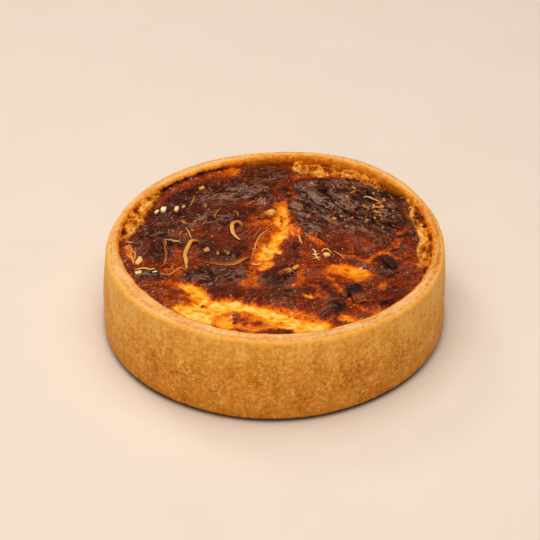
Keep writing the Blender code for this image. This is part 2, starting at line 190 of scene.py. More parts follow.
@dataclass(frozen=True)
class View:
    """Where the photo was taken from, before the whole is centred over the origin."""

    elevation: float = 36.04
    distance: float = 1000.0
    aim: tuple = (-2.73, 39.2)
    layout_height: float = 45.0

    @property
    def point(self) -> tuple[float, float, float]:
        """The viewpoint."""
        angle = math.radians(self.elevation)
        return self.aim[0], self.aim[1] - self.distance * math.cos(angle), self.distance * math.sin(angle)

    def carried(self, x: Array, y: Array, height: Array, other: Array) -> tuple[Array, Array]:
        """Where a place at one height shows at another, along the line from the viewpoint.

        Marks and toppings were laid out at the layout height, as they are seen.

        Args:
            x: Places to the right.
            y: Places to the back.
            height: Their heights.
            other: The heights to carry them to.

        Returns:
            The places at the other heights.
        """
        eye_x, eye_y, eye_z = self.point
        stretch = (eye_z - other) / (eye_z - height)
        return eye_x + (x - eye_x) * stretch, eye_y + (y - eye_y) * stretch


SIZE = QuicheSize()
VIEW = View()


# ---- fields over the plane


def ramp(value: Array, low: float, high: float) -> Array:
    """A smooth climb: 0 below low, 1 above high, and 3t^2 - 2t^3 between them.

    Args:
        value: Where to read the climb.
        low: Where it starts.
        high: Where it ends.

    Returns:
        Numbers from 0 to 1.
    """
    t = np.clip((value - low) / (high - low), 0.0, 1.0)
    return t * t * (3.0 - 2.0 * t)


def along_across(x: Array, y: Array, turn: Array) -> tuple[Array, Array]:
    """Coordinates along and across a direction, which is turned from x towards y by an angle in radians."""
    return x * np.cos(turn) + y * np.sin(turn), y * np.cos(turn) - x * np.sin(turn)


def once_round(count: int) -> Array:
    """Evenly spaced bearings in radians, once round."""
    return np.arange(count) * 2.0 * math.pi / count


def centred(x: Array, y: Array, z: Array) -> Array:
    """Corners of the solid's own layout, carried to where the whole is centred over the origin."""
    shift_x, shift_y = SIZE.centre_shift
    return np.stack([x + shift_x, y + shift_y, z], axis=-1)


def noise(x: Array, y: Array, spacing: float, seed: int, around: int = 0) -> Array:
    """Smooth uneven heights from random slopes on a square lattice, blended by ramp.

    Args:
        x: First coordinate.
        y: Second coordinate.
        spacing: The lattice's pitch.
        seed: Which uneven field.
        around: Lattice columns after which x repeats, or 0 for none.

    Returns:
        Heights from about -1 to 1.
    """
    draw = np.random.default_rng(seed)
    order = draw.permutation(256)
    bearing = draw.uniform(0.0, 2.0 * math.pi, 256)
    column = np.floor(x / spacing).astype(int)
    row = np.floor(y / spacing).astype(int)
    across = x / spacing - column
    up = y / spacing - row

    def corner(i: int, j: int) -> Array:
        """The slope of one lattice corner, read at each place."""
        wrapped = (column + i) % around if around else column + i
        slope = bearing[order[(order[wrapped % 256] + row + j) % 256]]
        return np.cos(slope) * (across - i) + np.sin(slope) * (up - j)

    sx = ramp(across, 0.0, 1.0)
    sy = ramp(up, 0.0, 1.0)
    near = corner(0, 0) * (1 - sx) + corner(1, 0) * sx
    far = corner(0, 1) * (1 - sx) + corner(1, 1) * sx
    return 1.5 * (near * (1 - sy) + far * sy)


def layered(x: Array, y: Array, spacing: float, seed: int, layers: int = 3) -> Array:
    """A sum of noise fields, each with half the spacing and 0.55 of the height before.

    Args:
        x: First coordinate.
        y: Second coordinate.
        spacing: The widest pitch.
        seed: Which field.
        layers: How many fields.

    Returns:
        Heights from about -1 to 1.
    """
    total = np.zeros(np.shape(x))
    weight = 0.0
    for layer in range(layers):
        share = 0.55**layer
        total += share * noise(x, y, spacing / 2**layer, seed + 7 * layer)
        weight += share
    return total / weight


def pits(x: Array, y: Array, spacing: float, seed: int, radius: float, share: float = 1.0) -> Array:
    """Round pits, one at a random place in each lattice cell, as 1 minus the squared distance.

    Args:
        x: First coordinate.
        y: Second coordinate.
        spacing: The lattice's pitch.
        seed: Which pits.
        radius: A pit's radius.
        share: The share of cells that hold one.

    Returns:
        0 off the pits and 1 at a pit's middle.
    """
    draw = np.random.default_rng(seed)
    order = draw.permutation(256)
    place_x, place_y, chance, size = draw.uniform(0.0, 1.0, (4, 256))
    column = np.floor(x / spacing).astype(int)
    row = np.floor(y / spacing).astype(int)
    deepest = np.zeros(np.shape(x))
    for i in (-1, 0, 1):
        for j in (-1, 0, 1):
            key = order[(order[(column + i) % 256] + row + j) % 256]
            dx = (column + i + place_x[key]) * spacing - x
            dy = (row + j + place_y[key]) * spacing - y
            own = radius * (0.5 + 0.7 * size[key])
            depth = 1.0 - (dx**2 + dy**2) / own**2
            deepest = np.maximum(deepest, np.where(chance[key] < share, depth, 0.0))
    return np.clip(deepest, 0.0, 1.0)


def waves(bearing: Array, lobes: tuple) -> Array:
    """How far an edge strays at each bearing in radians: the sum of its waves."""
    return sum(w.depth * np.cos(w.lobes * (bearing - math.radians(w.direction))) for w in lobes)


def run_distance(x: Array, y: Array, points: tuple) -> Array:
    """The distance from each place to the nearest point of a line of straight runs."""
    nearest = np.full(np.shape(x), np.inf)
    for (ax, ay), (bx, by) in zip(points, points[1:]):
        run_x, run_y = bx - ax, by - ay
        part = ((x - ax) * run_x + (y - ay) * run_y) / (run_x**2 + run_y**2)
        part = np.clip(part, 0.0, 1.0)
        nearest = np.minimum(nearest, np.hypot(x - ax - part * run_x, y - ay - part * run_y))
    return nearest


def painted(x: Array, y: Array, ground: object, marks: tuple) -> Array:
    """Marks laid one over the other on a ground.

    Args:
        x: Places to the right.
        y: Places to the back.
        ground: The value where no mark is.
        marks: Ovals, lines and patches, each with the value it stands for.

    Returns:
        The value at each place.
    """
    value = np.zeros(np.shape(x)) + ground
    for mark in marks:
        cover = mark.mask(x, y)
        value = value * (1.0 - cover) + mark.amount * cover
    return value


def smooth_path(points: tuple, count: int) -> Array:
    """Evenly numbered places along a smooth curve through the points (Catmull-Rom).

    Args:
        points: Two or three numbers each.
        count: How many places.

    Returns:
        An array of count rows.
    """
    anchors = np.array([points[0]] + list(points) + [points[-1]], dtype=float)
    spans = len(points) - 1
    place = np.linspace(0.0, spans, count)
    index = np.minimum(place.astype(int), spans - 1)
    t = (place - index)[:, None]
    a, b, c, d = (anchors[index + k] for k in range(4))
    return 0.5 * (2 * b + (c - a) * t + (2 * a - 5 * b + 4 * c - d) * t**2 + (3 * b - a - 3 * c + d) * t**3)


# ---- meshes


def placed(name: str, data: bpy.types.ID) -> bpy.types.Object:
    """A new object of the scene."""
    made = bpy.data.objects.new(name, data)
    bpy.context.scene.collection.objects.link(made)
    return made


@dataclass
class Mesh:
    """Corners, faces and named values of one piece, in millimetres."""

    name: str
    corners: Array
    quads: Array
    triangles: Array = field(default_factory=lambda: np.zeros((0, 3), int))
    values: dict = field(default_factory=dict)

    def build(self, finish: Material, slot: Slot, replaced: tuple = ()) -> bpy.types.Object:
        """Makes the object, gives it its finish and lets it ride on the quiche's one body.

        Args:
            finish: The material.
            slot: Not used.
            replaced: The solid parts that this piece stands for.

        Returns:
            The object.
        """
        mesh = bpy.data.meshes.new(self.name)
        mesh.vertices.add(len(self.corners))
        mesh.vertices.foreach_set("co", (self.corners * MM).astype(np.float32).ravel())
        loops = np.concatenate([self.quads.ravel(), self.triangles.ravel()])
        sizes = np.concatenate([np.full(len(self.quads), 4), np.full(len(self.triangles), 3)])
        mesh.loops.add(len(loops))
        mesh.loops.foreach_set("vertex_index", loops.astype(np.int32))
        mesh.polygons.add(len(sizes))
        mesh.polygons.foreach_set("loop_start", (np.cumsum(sizes) - sizes).astype(np.int32))
        mesh.update(calc_edges=True)
        for name, values in self.values.items():
            layer = mesh.attributes.new(name, "FLOAT", "POINT")
            layer.data.foreach_set("value", np.asarray(values, np.float32).ravel())
        mesh.materials.append(finish)
        mesh.shade_smooth()
        piece = placed(self.name, mesh)
        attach(piece, "root")
        if replaced:
            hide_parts(*replaced)
        LOG.info("%s: %d corners, %d faces", self.name, len(self.corners), len(sizes))
        return piece


def ring_quads(rows: int, sides: int) -> Array:
    """The faces of a tube: rows of sides corners, each row closed on itself."""
    row, side = np.meshgrid(np.arange(rows - 1), np.arange(sides), indexing="ij")
    after = (side + 1) % sides
    low, high = row * sides, (row + 1) * sides
    return np.stack([low + side, low + after, high + after, high + side], axis=-1).reshape(-1, 4)


def tubes(name: str, rings: Array, values: dict | None = None) -> Mesh:
    """Closed tubes from rings of corners, with a fan over both ends of each.

    Args:
        name: The piece's name.
        rings: Shape (tubes, rows, sides, 3).
        values: Named values of shape (tubes, rows, sides).

    Returns:
        One mesh that holds all the tubes.
    """
    count, rows, sides, _ = rings.shape
    own = rows * sides
    first = np.arange(count)[:, None, None] * (own + 2)
    quads = (ring_quads(rows, sides)[None] + first).reshape(-1, 4)
    side = np.arange(sides)
    after = (side + 1) % sides
    start_fan = np.stack([np.full(sides, own), after, side], axis=-1)
    end_fan = np.stack([np.full(sides, own + 1), own - sides + side, own - sides + after], axis=-1)
    triangles = (np.concatenate([start_fan, end_fan])[None] + first).reshape(-1, 3)
    ends = np.stack([rings[:, 0].mean(axis=1), rings[:, -1].mean(axis=1)], axis=1)
    corners = np.concatenate([rings.reshape(count, own, 3), ends], axis=1).reshape(-1, 3)
    spread = {}
    for key, value in (values or {}).items():
        value_ends = np.stack([value[:, 0].mean(axis=1), value[:, -1].mean(axis=1)], axis=1)
        spread[key] = np.concatenate([value.reshape(count, own), value_ends], axis=1)
    return Mesh(name, corners, quads, triangles, spread)


# ---- shader trees


class Tree:
    """Short ways to add and join nodes in one node tree.

    Where a value is wanted, it is another node's socket, or what to set the input to.
    """

    def __init__(self, tree: NodeTree) -> None:
        """Keeps the tree."""
        self.tree = tree

    def node(self, kind: str, **settings: object) -> bpy.types.Node:
        """A new node with its settings."""
        made = self.tree.nodes.new(kind)
        for name, value in settings.items():
            setattr(made, name, value)
        return made

    def feed(self, inputs: Sockets, values: dict) -> None:
        """Joins each named input to a socket, or sets its value."""
        for name, value in values.items():
            if isinstance(value, Socket):
                self.tree.links.new(value, inputs[name])
            else:
                inputs[name].default_value = value

    def math(self, operation: str, a: object, b: object = 0.0, clamp: bool = False) -> Socket:
        """A Math node's result."""
        made = self.node("ShaderNodeMath", operation=operation, use_clamp=clamp)
        self.feed(made.inputs, {0: a, 1: b})
        return made.outputs[0]

    def add(self, first: object, *others: object) -> Socket:
        """The sum of two or more values."""
        for other in others:
            first = self.math("ADD", first, other)
        return first

    def less(self, a: object, b: object) -> Socket:
        """The first value less the second."""
        return self.math("SUBTRACT", a, b)

    def times(self, a: object, b: object) -> Socket:
        """The product of two values."""
        return self.math("MULTIPLY", a, b)

    def spot(self, inside: object, steepness: float) -> Socket:
        """A spot with a short soft edge: 0 where inside is below 0, climbing steeply to 1."""
        return self.math("MULTIPLY", inside, steepness, clamp=True)

    def attribute(self, name: str) -> Socket:
        """A named value of the mesh."""
        return self.node("ShaderNodeAttribute", attribute_name=name).outputs["Fac"]

    def position(self) -> Socket:
        """The place on the object, in metres."""
        return self.node("ShaderNodeTexCoord").outputs["Object"]

    def noise(self, place: object, pitch: float, detail: float = 3.0, rough: float = 0.55) -> Socket:
        """Uneven values from 0 to 1, with a pitch in millimetres."""
        made = self.node("ShaderNodeTexNoise")
        settings = {"Scale": 1.0 / (pitch * MM), "Detail": detail, "Roughness": rough}
        self.feed(made.inputs, {"Vector": place} | settings)
        return made.outputs["Fac"]

    def cells(self, place: object, pitch: float) -> tuple[Socket, Socket]:
        """The distance to the nearest point of a random lattice, in lattice widths, and its chance."""
        made, chance = self.node("ShaderNodeTexVoronoi"), self.node("ShaderNodeSeparateColor")
        self.feed(made.inputs, {"Vector": place, "Scale": 1.0 / (pitch * MM)})
        self.feed(chance.inputs, {"Color": made.outputs["Color"]})
        return made.outputs["Distance"], chance.outputs["Red"]

    def scale(
        self, value: object, low: float, high: float, to_low: float = 0.0, to_high: float = 1.0
    ) -> Socket:
        """A value carried from one range to another, and held at its ends."""
        made = self.node("ShaderNodeMapRange", clamp=True)
        ends = {"From Min": low, "From Max": high, "To Min": to_low, "To Max": to_high}
        self.feed(made.inputs, {"Value": value} | ends)
        return made.outputs["Result"]

    def colours(self, value: object, stops: tuple) -> Socket:
        """A colour ramp. Each stop is a place and a colour as seen on screen."""
        made = self.node("ShaderNodeValToRGB")
        self.feed(made.inputs, {"Fac": value})
        while len(made.color_ramp.elements) < len(stops):
            made.color_ramp.elements.new(0.5)
        for element, (place, colour) in zip(made.color_ramp.elements, stops):
            element.position = place
            element.color = linear(colour)
        return made.outputs["Color"]

    def mix(self, factor: object, a: object, b: object) -> Socket:
        """Two colours mixed."""
        made = self.node("ShaderNodeMix", data_type="RGBA")
        self.feed(made.inputs, {"Factor": factor, "A": a, "B": b})
        return made.outputs["Result"]

    def bump(self, height: object, depth: float, under: object = None) -> Socket:
        """A normal from a height of 0 to 1 that stands for depth millimetres, over another one."""
        made = self.node("ShaderNodeBump")
        self.feed(made.inputs, {"Height": height, "Distance": depth * MM, "Strength": 1.0})
        if under is not None:
            self.feed(made.inputs, {"Normal": under})
        return made.outputs["Normal"]


def linear(colour: tuple) -> tuple:
    """A colour of 0 to 255 a channel, as seen on screen, in linear light."""
    parts = [c / 255.0 for c in colour]
    return tuple(p / 12.92 if p <= 0.04045 else ((p + 0.055) / 1.055) ** 2.4 for p in parts) + (1.0,)


def new_material(name: str) -> tuple[Material, Tree, bpy.types.Node]:
    """A material with one Principled shader.

    Args:
        name: The material's name.

    Returns:
        The material, its tree and its shader.
    """
    made = bpy.data.materials.new(name)
    made.use_nodes = True
    return made, Tree(made.node_tree), made.node_tree.nodes["Principled BSDF"]


def new_group(name: str, numbers: dict, outputs: tuple, places: tuple = ()) -> tuple[Tree, Sockets, Sockets]:
    """An empty node group.

    Args:
        name: The group's name.
        numbers: Its number inputs and their defaults.
        outputs: The names of its outputs, all of them numbers.
        places: The names of its vector inputs.

    Returns:
        Its tree, the sockets that its inputs come in by and those that its outputs leave by.
    """
    group = bpy.data.node_groups.new(name, "ShaderNodeTree")
    for place in places:
        group.interface.new_socket(place, in_out="INPUT", socket_type="NodeSocketVector")
    for number, default in numbers.items():
        made = group.interface.new_socket(number, in_out="INPUT", socket_type="NodeSocketFloat")
        made.default_value = default
    for output in outputs:
        group.interface.new_socket(output, in_out="OUTPUT", socket_type="NodeSocketFloat")
    tree = Tree(group)
    return tree, tree.node("NodeGroupInput").outputs, tree.node("NodeGroupOutput").inputs


def speckle_group() -> NodeTree:
    """A group of fine bake marks.

    Its outputs are Mottle, Pores, Specks, Crumbs and Glints from 0 to 1, Grain for a bump, and
    Beads, which are small domes of 1 minus the squared distance on a third of a random lattice.
    Crumbs are the tops of a rough noise, kept in patches. Glints are spots for painted highlights.
    """
    outputs = ("Mottle", "Pores", "Specks", "Crumbs", "Glints", "Grain", "Beads")
    tree, given, out = new_group("bake_marks", {"Pitch": 1.0, "Pore Size": 0.25}, outputs, ("Place",))
    scaled = tree.node("ShaderNodeVectorMath", operation="SCALE")
    tree.feed(scaled.inputs, {0: given["Place"], "Scale": tree.math("DIVIDE", 1.0, given["Pitch"])})
    place = scaled.outputs["Vector"]
    wide, fine = tree.noise(place, 3.2, 4.0, 0.6), tree.noise(place, 0.9, 3.0, 0.6)
    mottle = tree.add(tree.times(wide, 0.5), tree.times(fine, 0.5))
    pore, pore_chance = tree.cells(place, 1.7)
    pores = tree.spot(tree.less(given["Pore Size"], pore), 10.0)
    speck, speck_chance = tree.cells(place, 2.9)
    specks = tree.spot(tree.less(tree.times(fine, 0.40), speck), 14.0)
    tops = tree.scale(tree.noise(place, 3.0, 4.0, 0.72), 0.53, 0.65)
    patch = tree.scale(tree.noise(place, 12.0, 3.0), 0.42, 0.58)
    # spots for painted highlights
    glint, glint_chance = tree.cells(place, 2.9)
    glints = tree.spot(tree.less(0.13, glint), 18.0)
    bead, bead_chance = tree.cells(place, 1.5)
    near = tree.math("DIVIDE", bead, 0.36)
    dome = tree.math("SUBTRACT", 1.0, tree.times(near, near), clamp=True)
    tree.feed(out, {
        "Mottle": tree.scale(mottle, 0.37, 0.63),
        "Pores": tree.times(pores, tree.math("GREATER_THAN", pore_chance, 0.35)),
        "Specks": tree.times(specks, tree.math("LESS_THAN", speck_chance, 0.22)),
        "Crumbs": tree.times(tops, patch),
        "Glints": tree.times(glints, tree.scale(glint_chance, 0.62, 0.95)),
        "Grain": tree.noise(place, 0.45, 4.0, 0.65),
        "Beads": tree.times(dome, tree.math("GREATER_THAN", bead_chance, 0.64)),
    })
    return tree.tree


def folds_group() -> NodeTree:
    """A group of fine wrinkles in a skin, from its own coordinates along and across the wrinkles.

    Both outputs are thin lines, where a drawn-out noise crosses its middle: Grooves from two
    layers of it, and Gleams, kept in patches, from a third. The custard paints shade in the
    Grooves and a sheen on the Gleams.
    """
    tree, given, out = new_group("skin_folds", {"Along": 0.0, "Across": 0.0}, ("Grooves", "Gleams"))

    def drawn_out(stretch: float, level: float) -> Socket:
        """A place drawn out along the wrinkles, on a level of its own."""
        place = tree.node("ShaderNodeCombineXYZ")
        x, y = tree.times(given["Along"], MM / stretch), tree.times(given["Across"], MM)
        tree.feed(place.inputs, {"X": x, "Y": y, "Z": level * MM})
        return place.outputs[0]

    def lines(stretch: float, pitch: float, width: float) -> Socket:
        """Thin lines in a noise."""
        uneven = tree.noise(drawn_out(stretch, pitch), pitch, 2.0, 0.5)
        return tree.scale(tree.math("ABSOLUTE", tree.less(uneven, 0.5)), 0.0, width, 1.0, 0.0)

    patch = tree.scale(tree.noise(drawn_out(1.5, 50.0), 13.0, 3.0), 0.44, 0.58)
    tree.feed(out, {
        "Grooves": tree.add(tree.times(lines(2.4, 4.5, 0.08), 0.62), tree.times(lines(1.7, 2.3, 0.08), 0.38)),
        "Gleams": tree.times(lines(2.7, 4.8, 0.075), patch),
    })
    return tree.tree


def place_speckle(tree: Tree, group: NodeTree, pitch: float, pore: float) -> Sockets:
    """The outputs of the bake marks in one material, with their own pitch and pore size."""
    made = tree.node("ShaderNodeGroup", node_tree=group)
    tree.feed(made.inputs, {"Place": tree.position(), "Pitch": pitch, "Pore Size": pore})
    return made.outputs


# ---- finishes

WARM_SHEEN = (255, 214, 178)
COAT_ROUGHNESS = 0.12


@dataclass(frozen=True)
class PastryFinish:
    """Baked shortcrust: golden wall, pale rim, deeper inside, fine pores and flecks."""

    # the darkest stop is reached at the foot, where it paints the shade under the crust
    wall: tuple = (
        (0.0, (88, 40, 6)), (0.1, (166, 86, 10)), (0.28, (204, 118, 20)), (0.5, (224, 143, 38)),
        (0.72, (242, 161, 52)), (1.0, (254, 194, 98)),
    )
    rim: tuple = (
        (0.0, (198, 118, 42)), (0.35, (230, 160, 84)), (0.6, (243, 184, 112)), (1.0, (253, 211, 152)),
    )
    inside: tuple = (
        (0.0, (52, 8, 0)), (0.22, (122, 44, 0)), (0.45, (208, 98, 4)), (0.7, (242, 140, 22)),
        (1.0, (254, 186, 86)),
    )
    pore: tuple = (104, 48, 10)
    glow: tuple = (254, 172, 62)
    low: tuple = (204, 120, 16)
    crumb: tuple = (252, 198, 116)
    mottle: tuple = (-0.30, 0.20)
    roughness: float = 0.62
    grain_depth: float = 0.10

    def build(self, marks: NodeTree) -> Material:
        """The pastry's material, from the tone, rim, inside, glow and low values of the mesh."""
        made, tree, shader = new_material("baked_pastry")
        out = place_speckle(tree, marks, 0.70, 0.17)
        inside = tree.attribute("inside")
        uneven = tree.scale(out["Mottle"], 0.0, 1.0, *self.mottle)
        uneven = tree.times(uneven, tree.scale(inside, 0.0, 1.0, 1.0, 0.4))
        flecks = tree.times(out["Specks"], 0.28)
        tone = tree.add(tree.attribute("tone"), uneven, flecks, tree.times(out["Crumbs"], 0.22))
        pale = tree.add(tree.times(out["Crumbs"], 0.85), tree.scale(out["Mottle"], 0.52, 0.82, 0.0, 0.20))
        colour = tree.mix(pale, tree.colours(tone, self.wall), linear(self.crumb))
        colour = tree.mix(tree.times(tree.attribute("low"), 0.35), colour, linear(self.low))
        colour = tree.mix(tree.times(tree.attribute("glow"), 0.8), colour, linear(self.glow))
        colour = tree.mix(tree.attribute("rim"), colour, tree.colours(tone, self.rim))
        colour = tree.mix(inside, colour, tree.colours(tone, self.inside))
        colour = tree.mix(tree.times(out["Pores"], 0.6), colour, linear(self.pore))
        height = tree.less(out["Grain"], tree.times(out["Pores"], 1.5))
        tree.feed(shader.inputs, {
            "Base Color": colour,
            "Roughness": self.roughness,
            "Specular IOR Level": 0.15,
            "Normal": tree.bump(height, self.grain_depth),
        })
        return made


@dataclass(frozen=True)
class CustardFinish:
    """Baked custard: pale yellow where it cracked, through orange and red-brown, to a grey-black skin."""

    bake: tuple = (
        (0.0, (255, 218, 108)), (0.12, (255, 178, 42)), (0.25, (254, 146, 14)), (0.38, (234, 114, 6)),
        (0.5, (186, 72, 2)), (0.62, (142, 48, 8)), (0.74, (110, 39, 14)), (0.86, (82, 32, 16)),
        (1.0, (44, 18, 9)),
    )
    # the lighter stops of the skin are partly a painted sheen
    skin: tuple = (
        (0.0, (18, 7, 4)), (0.3, (54, 23, 13)), (0.55, (90, 46, 30)), (0.8, (128, 80, 62)),
        (1.0, (166, 118, 96)),
    )
    ledge: tuple = (
        (0.0, (76, 20, 0)), (0.25, (156, 68, 2)), (0.5, (216, 118, 16)), (0.75, (243, 158, 50)),
        (1.0, (255, 200, 108)),
    )
    specks: tuple = (232, 132, 28)
    # the colour of the sheen painted along the skin's wrinkles
    painted_sheen: tuple = (206, 156, 128)
    # the colour of the highlights painted on small spots
    glint: tuple = (255, 236, 214)
    roughness: tuple = (0.25, 0.50)
    coat: tuple = (0.60, 0.22)
    bead_depth: float = 0.20
    grain_depth: float = 0.03
    fold_depth: float = 0.75

    def build(self, marks: NodeTree, folds: NodeTree) -> Material:
        """The custard's material, from the bake, ash, skin, ledge, dry, along and across values of the mesh.

        roughness and coat are each what a wet skin has, and then a dry one.

        Args:
            marks: The group of fine bake marks.
            folds: The group of fine wrinkles.

        Returns:
            The material.
        """
        made, tree, shader = new_material("baked_custard")
        out = place_speckle(tree, marks, 1.05, 0.28)
        fold = tree.node("ShaderNodeGroup", node_tree=folds)
        tree.feed(fold.inputs, {"Along": tree.attribute("along"), "Across": tree.attribute("across")})
        bake, ash, dry = (tree.attribute(name) for name in ("bake", "ash", "dry"))
        groove = tree.less(fold.outputs["Grooves"], 0.26)
        uneven = tree.scale(out["Mottle"], 0.0, 1.0, -1.0, 1.0)
        pores = tree.times(out["Pores"], tree.scale(bake, 0.15, 0.45, 0.14, 0.36))
        mottled = tree.times(uneven, tree.scale(bake, 0.1, 0.6, 0.03, 0.06))
        # painted shade: the bake and the skin darken in the grooves
        groove_shade = tree.times(groove, tree.scale(bake, 0.2, 0.6, 0.01, 0.18))
        baked = tree.colours(tree.add(bake, mottled, pores, groove_shade), self.bake)
        plain = tree.add(tree.attribute("skin"), tree.times(uneven, 0.12))
        skin = tree.less(tree.less(plain, tree.times(groove, 0.82)), pores)
        # painted sheen: lighter lines on the Gleams where the skin is browned and grey
        sheen_lines = tree.times(fold.outputs["Gleams"], tree.scale(bake, 0.4, 0.65))
        gleams = tree.times(sheen_lines, tree.scale(ash, 0.0, 0.6, 0.15, 0.42))
        colour = tree.mix(ash, baked, tree.colours(skin, self.skin))
        colour = tree.mix(gleams, colour, linear(self.painted_sheen))
        colour = tree.mix(tree.times(out["Specks"], 0.55), colour, linear(self.specks))
        colour = tree.mix(tree.attribute("ledge"), colour, tree.colours(plain, self.ledge))
        # painted highlights: small spots lit up in the glint colour
        colour = tree.mix(tree.times(out["Glints"], 0.85), colour, linear(self.glint))
        sunk = tree.times(fold.outputs["Grooves"], tree.scale(bake, 0.15, 0.5, -0.2, -1.0))
        creased = tree.bump(sunk, self.fold_depth, tree.bump(out["Grain"], self.grain_depth))
        tree.feed(shader.inputs, {
            "Base Color": colour,
            "Roughness": tree.scale(dry, 0.0, 1.0, *self.roughness),
            "Specular IOR Level": 0.05,
            "Specular Tint": linear(WARM_SHEEN),
            "Coat Weight": tree.scale(dry, 0.0, 1.0, *self.coat),
            "Coat Roughness": COAT_ROUGHNESS,
            "Normal": tree.bump(out["Beads"], self.bead_depth, creased),
        })
        return made


@dataclass(frozen=True)
class ToppingFinish:
    """A small baked piece whose colour follows its tone value, with a wet coat and a warm gleam."""

    name: str
    tones: tuple
    uneven: float
    roughness: float
    coat: float
    grain: float
    gleam: float = 0.2

    def build(self, marks: NodeTree) -> Material:
        """The material, from the tone value of the mesh."""
        made, tree, shader = new_material(self.name)
        out = place_speckle(tree, marks, 0.5, 0.08)
        uneven = tree.scale(out["Mottle"], 0.0, 1.0, -self.uneven, self.uneven)
        tree.feed(shader.inputs, {
            "Base Color": tree.colours(tree.add(tree.attribute("tone"), uneven), self.tones),
            "Roughness": self.roughness,
            "Specular IOR Level": self.gleam,
            "Specular Tint": linear(WARM_SHEEN),
            "Coat Weight": self.coat,
            "Coat Roughness": COAT_ROUGHNESS,
            "Normal": tree.bump(out["Grain"], self.grain),
        })
        return made


ONION_FINISH = ToppingFinish(
    name="baked_onion",
    tones=(
        (0.0, (88, 32, 6)), (0.25, (158, 82, 20)), (0.5, (224, 148, 64)), (0.75, (248, 196, 110)),
        (1.0, (255, 240, 200)),
    ),
    uneven=0.06, roughness=0.35, coat=0.35, grain=0.04,
)
BACON_FINISH = ToppingFinish(
    name="baked_bacon",
    tones=(
        (0.0, (20, 14, 11)), (0.2, (42, 28, 21)), (0.42, (84, 32, 14)), (0.62, (146, 62, 28)),
        (0.8, (214, 122, 36)), (1.0, (252, 196, 104)),
    ),
    uneven=0.12, roughness=0.24, coat=0.60, grain=0.12, gleam=0.5,
)
# the palest bead tones paint highlights on the beads
BEAD_FINISH = ToppingFinish(
    name="fat_bead",
    tones=((0.0, (84, 32, 14)), (0.7, (150, 76, 38)), (1.0, (240, 190, 140))),
    uneven=0.05, roughness=0.12, coat=0.15, grain=0.02, gleam=1.0,
)


@dataclass(frozen=True)
class FloorFinish:
    """A pale, matt surface, with a painted shadow where the crust stands on it."""

    tones: tuple = ((0.0, (233, 216, 199)), (1.0, (240, 224, 208)))
    # the colour of the shadow painted round the crust's foot
    painted_shadow: tuple = (66, 34, 12)

    def build(self) -> Material:
        """The floor's material, from the painted shadow value of the mesh."""
        made, tree, shader = new_material("pale_floor")
        colour = tree.colours(tree.noise(tree.position(), 60.0, 5.0), self.tones)
        colour = tree.mix(tree.attribute("painted_shadow"), colour, linear(self.painted_shadow))
        tree.feed(shader.inputs, {"Base Color": colour, "Roughness": 0.8, "Specular IOR Level": 0.2})
        return made


# ---- the custard


@dataclass(frozen=True)
class CustardShape:
    """The custard's forms: mounds, creases, ledges and wrinkles, as in the solid part."""

    mounds: tuple = (
        Oval(46, 30, 40, 34, 3.2, -42, 0.22), Oval(26, 1, 24, 15, 1.2, -40, 0.35),
        Oval(-36, 48, 30, 24, 1.8, 10, 0.35), Oval(-4, 72, 24, 13, 2.2, -5, 0.35),
        Oval(-46, 63, 34, 12, 1.5, 36, 0.35), Oval(-66, 7, 17, 28, 1.4, 0, 0.35),
        Oval(-32, 4, 20, 20, 0.9, 0, 0.35), Oval(-30, -29, 30, 9, 1.3, -4, 0.5),
        Oval(-60, -39, 24, 13, 1.4, -38, 0.35), Oval(8, -46, 34, 11, 1.3, -6, 0.5),
        Oval(66, -33, 17, 26, 1.2, -28, 0.35), Oval(-14, -70, 26, 9, -0.9, -10),
        Oval(42, -22, 15, 7, -1.2, -28), Oval(3, -32, 9, 7, -1.4, 20, 0.7),
        Oval(-30, -42, 3.2, 3.2, 1.6, 0, 0.8), Oval(-23, -47, 3.6, 3, 1.7, 0, 0.8),
        Oval(-3, -79, 7, 4, 1.4, 0, 0.8),
    )
    creases: tuple = (
        Line(((9, 60), (4, 44), (5, 28), (2, 12), (-3, -5), (-8, -19), (-14, -33)), 4.4, -2.2),
        Line(((-52, -37), (-43, -47), (-41, -56), (-20, -57), (0, -63), (20, -71), (34, -75)), 6, -2.1),
        Line(((8, 42), (20, 37), (33, 25)), 2.6, 2), Line(((13, 50), (26, 42), (38, 30)), 3.2, -1.8),
        Line(((37, -9), (46, -14), (55, -15), (60, -6), (70, 1), (78, 9)), 2.2, 1.1),
        Line(((69, 62), (76, 52), (79, 38), (79, 24), (80, 10), (82, -4)), 3.2, -2.8),
        Line(((-66, 55), (-72, 40), (-76, 24), (-82, 10)), 2.6, -1.5),
        Line(((-66, 52), (-45, 71), (-22, 81)), 2.4, -1.2),
    )
    ledges: tuple = (Ledge(140, 180, 11.0, 3.0), Ledge(44, 94, 9.0, 2.4), Ledge(-22, 40, 9.0, 3.2))
    torn_step: float = 2.4
    torn_share: float = 0.5
    wrinkles: tuple = ((15.0, 0.55, 3), (8.5, 0.5, 8), (5.6, 0.3, 21))


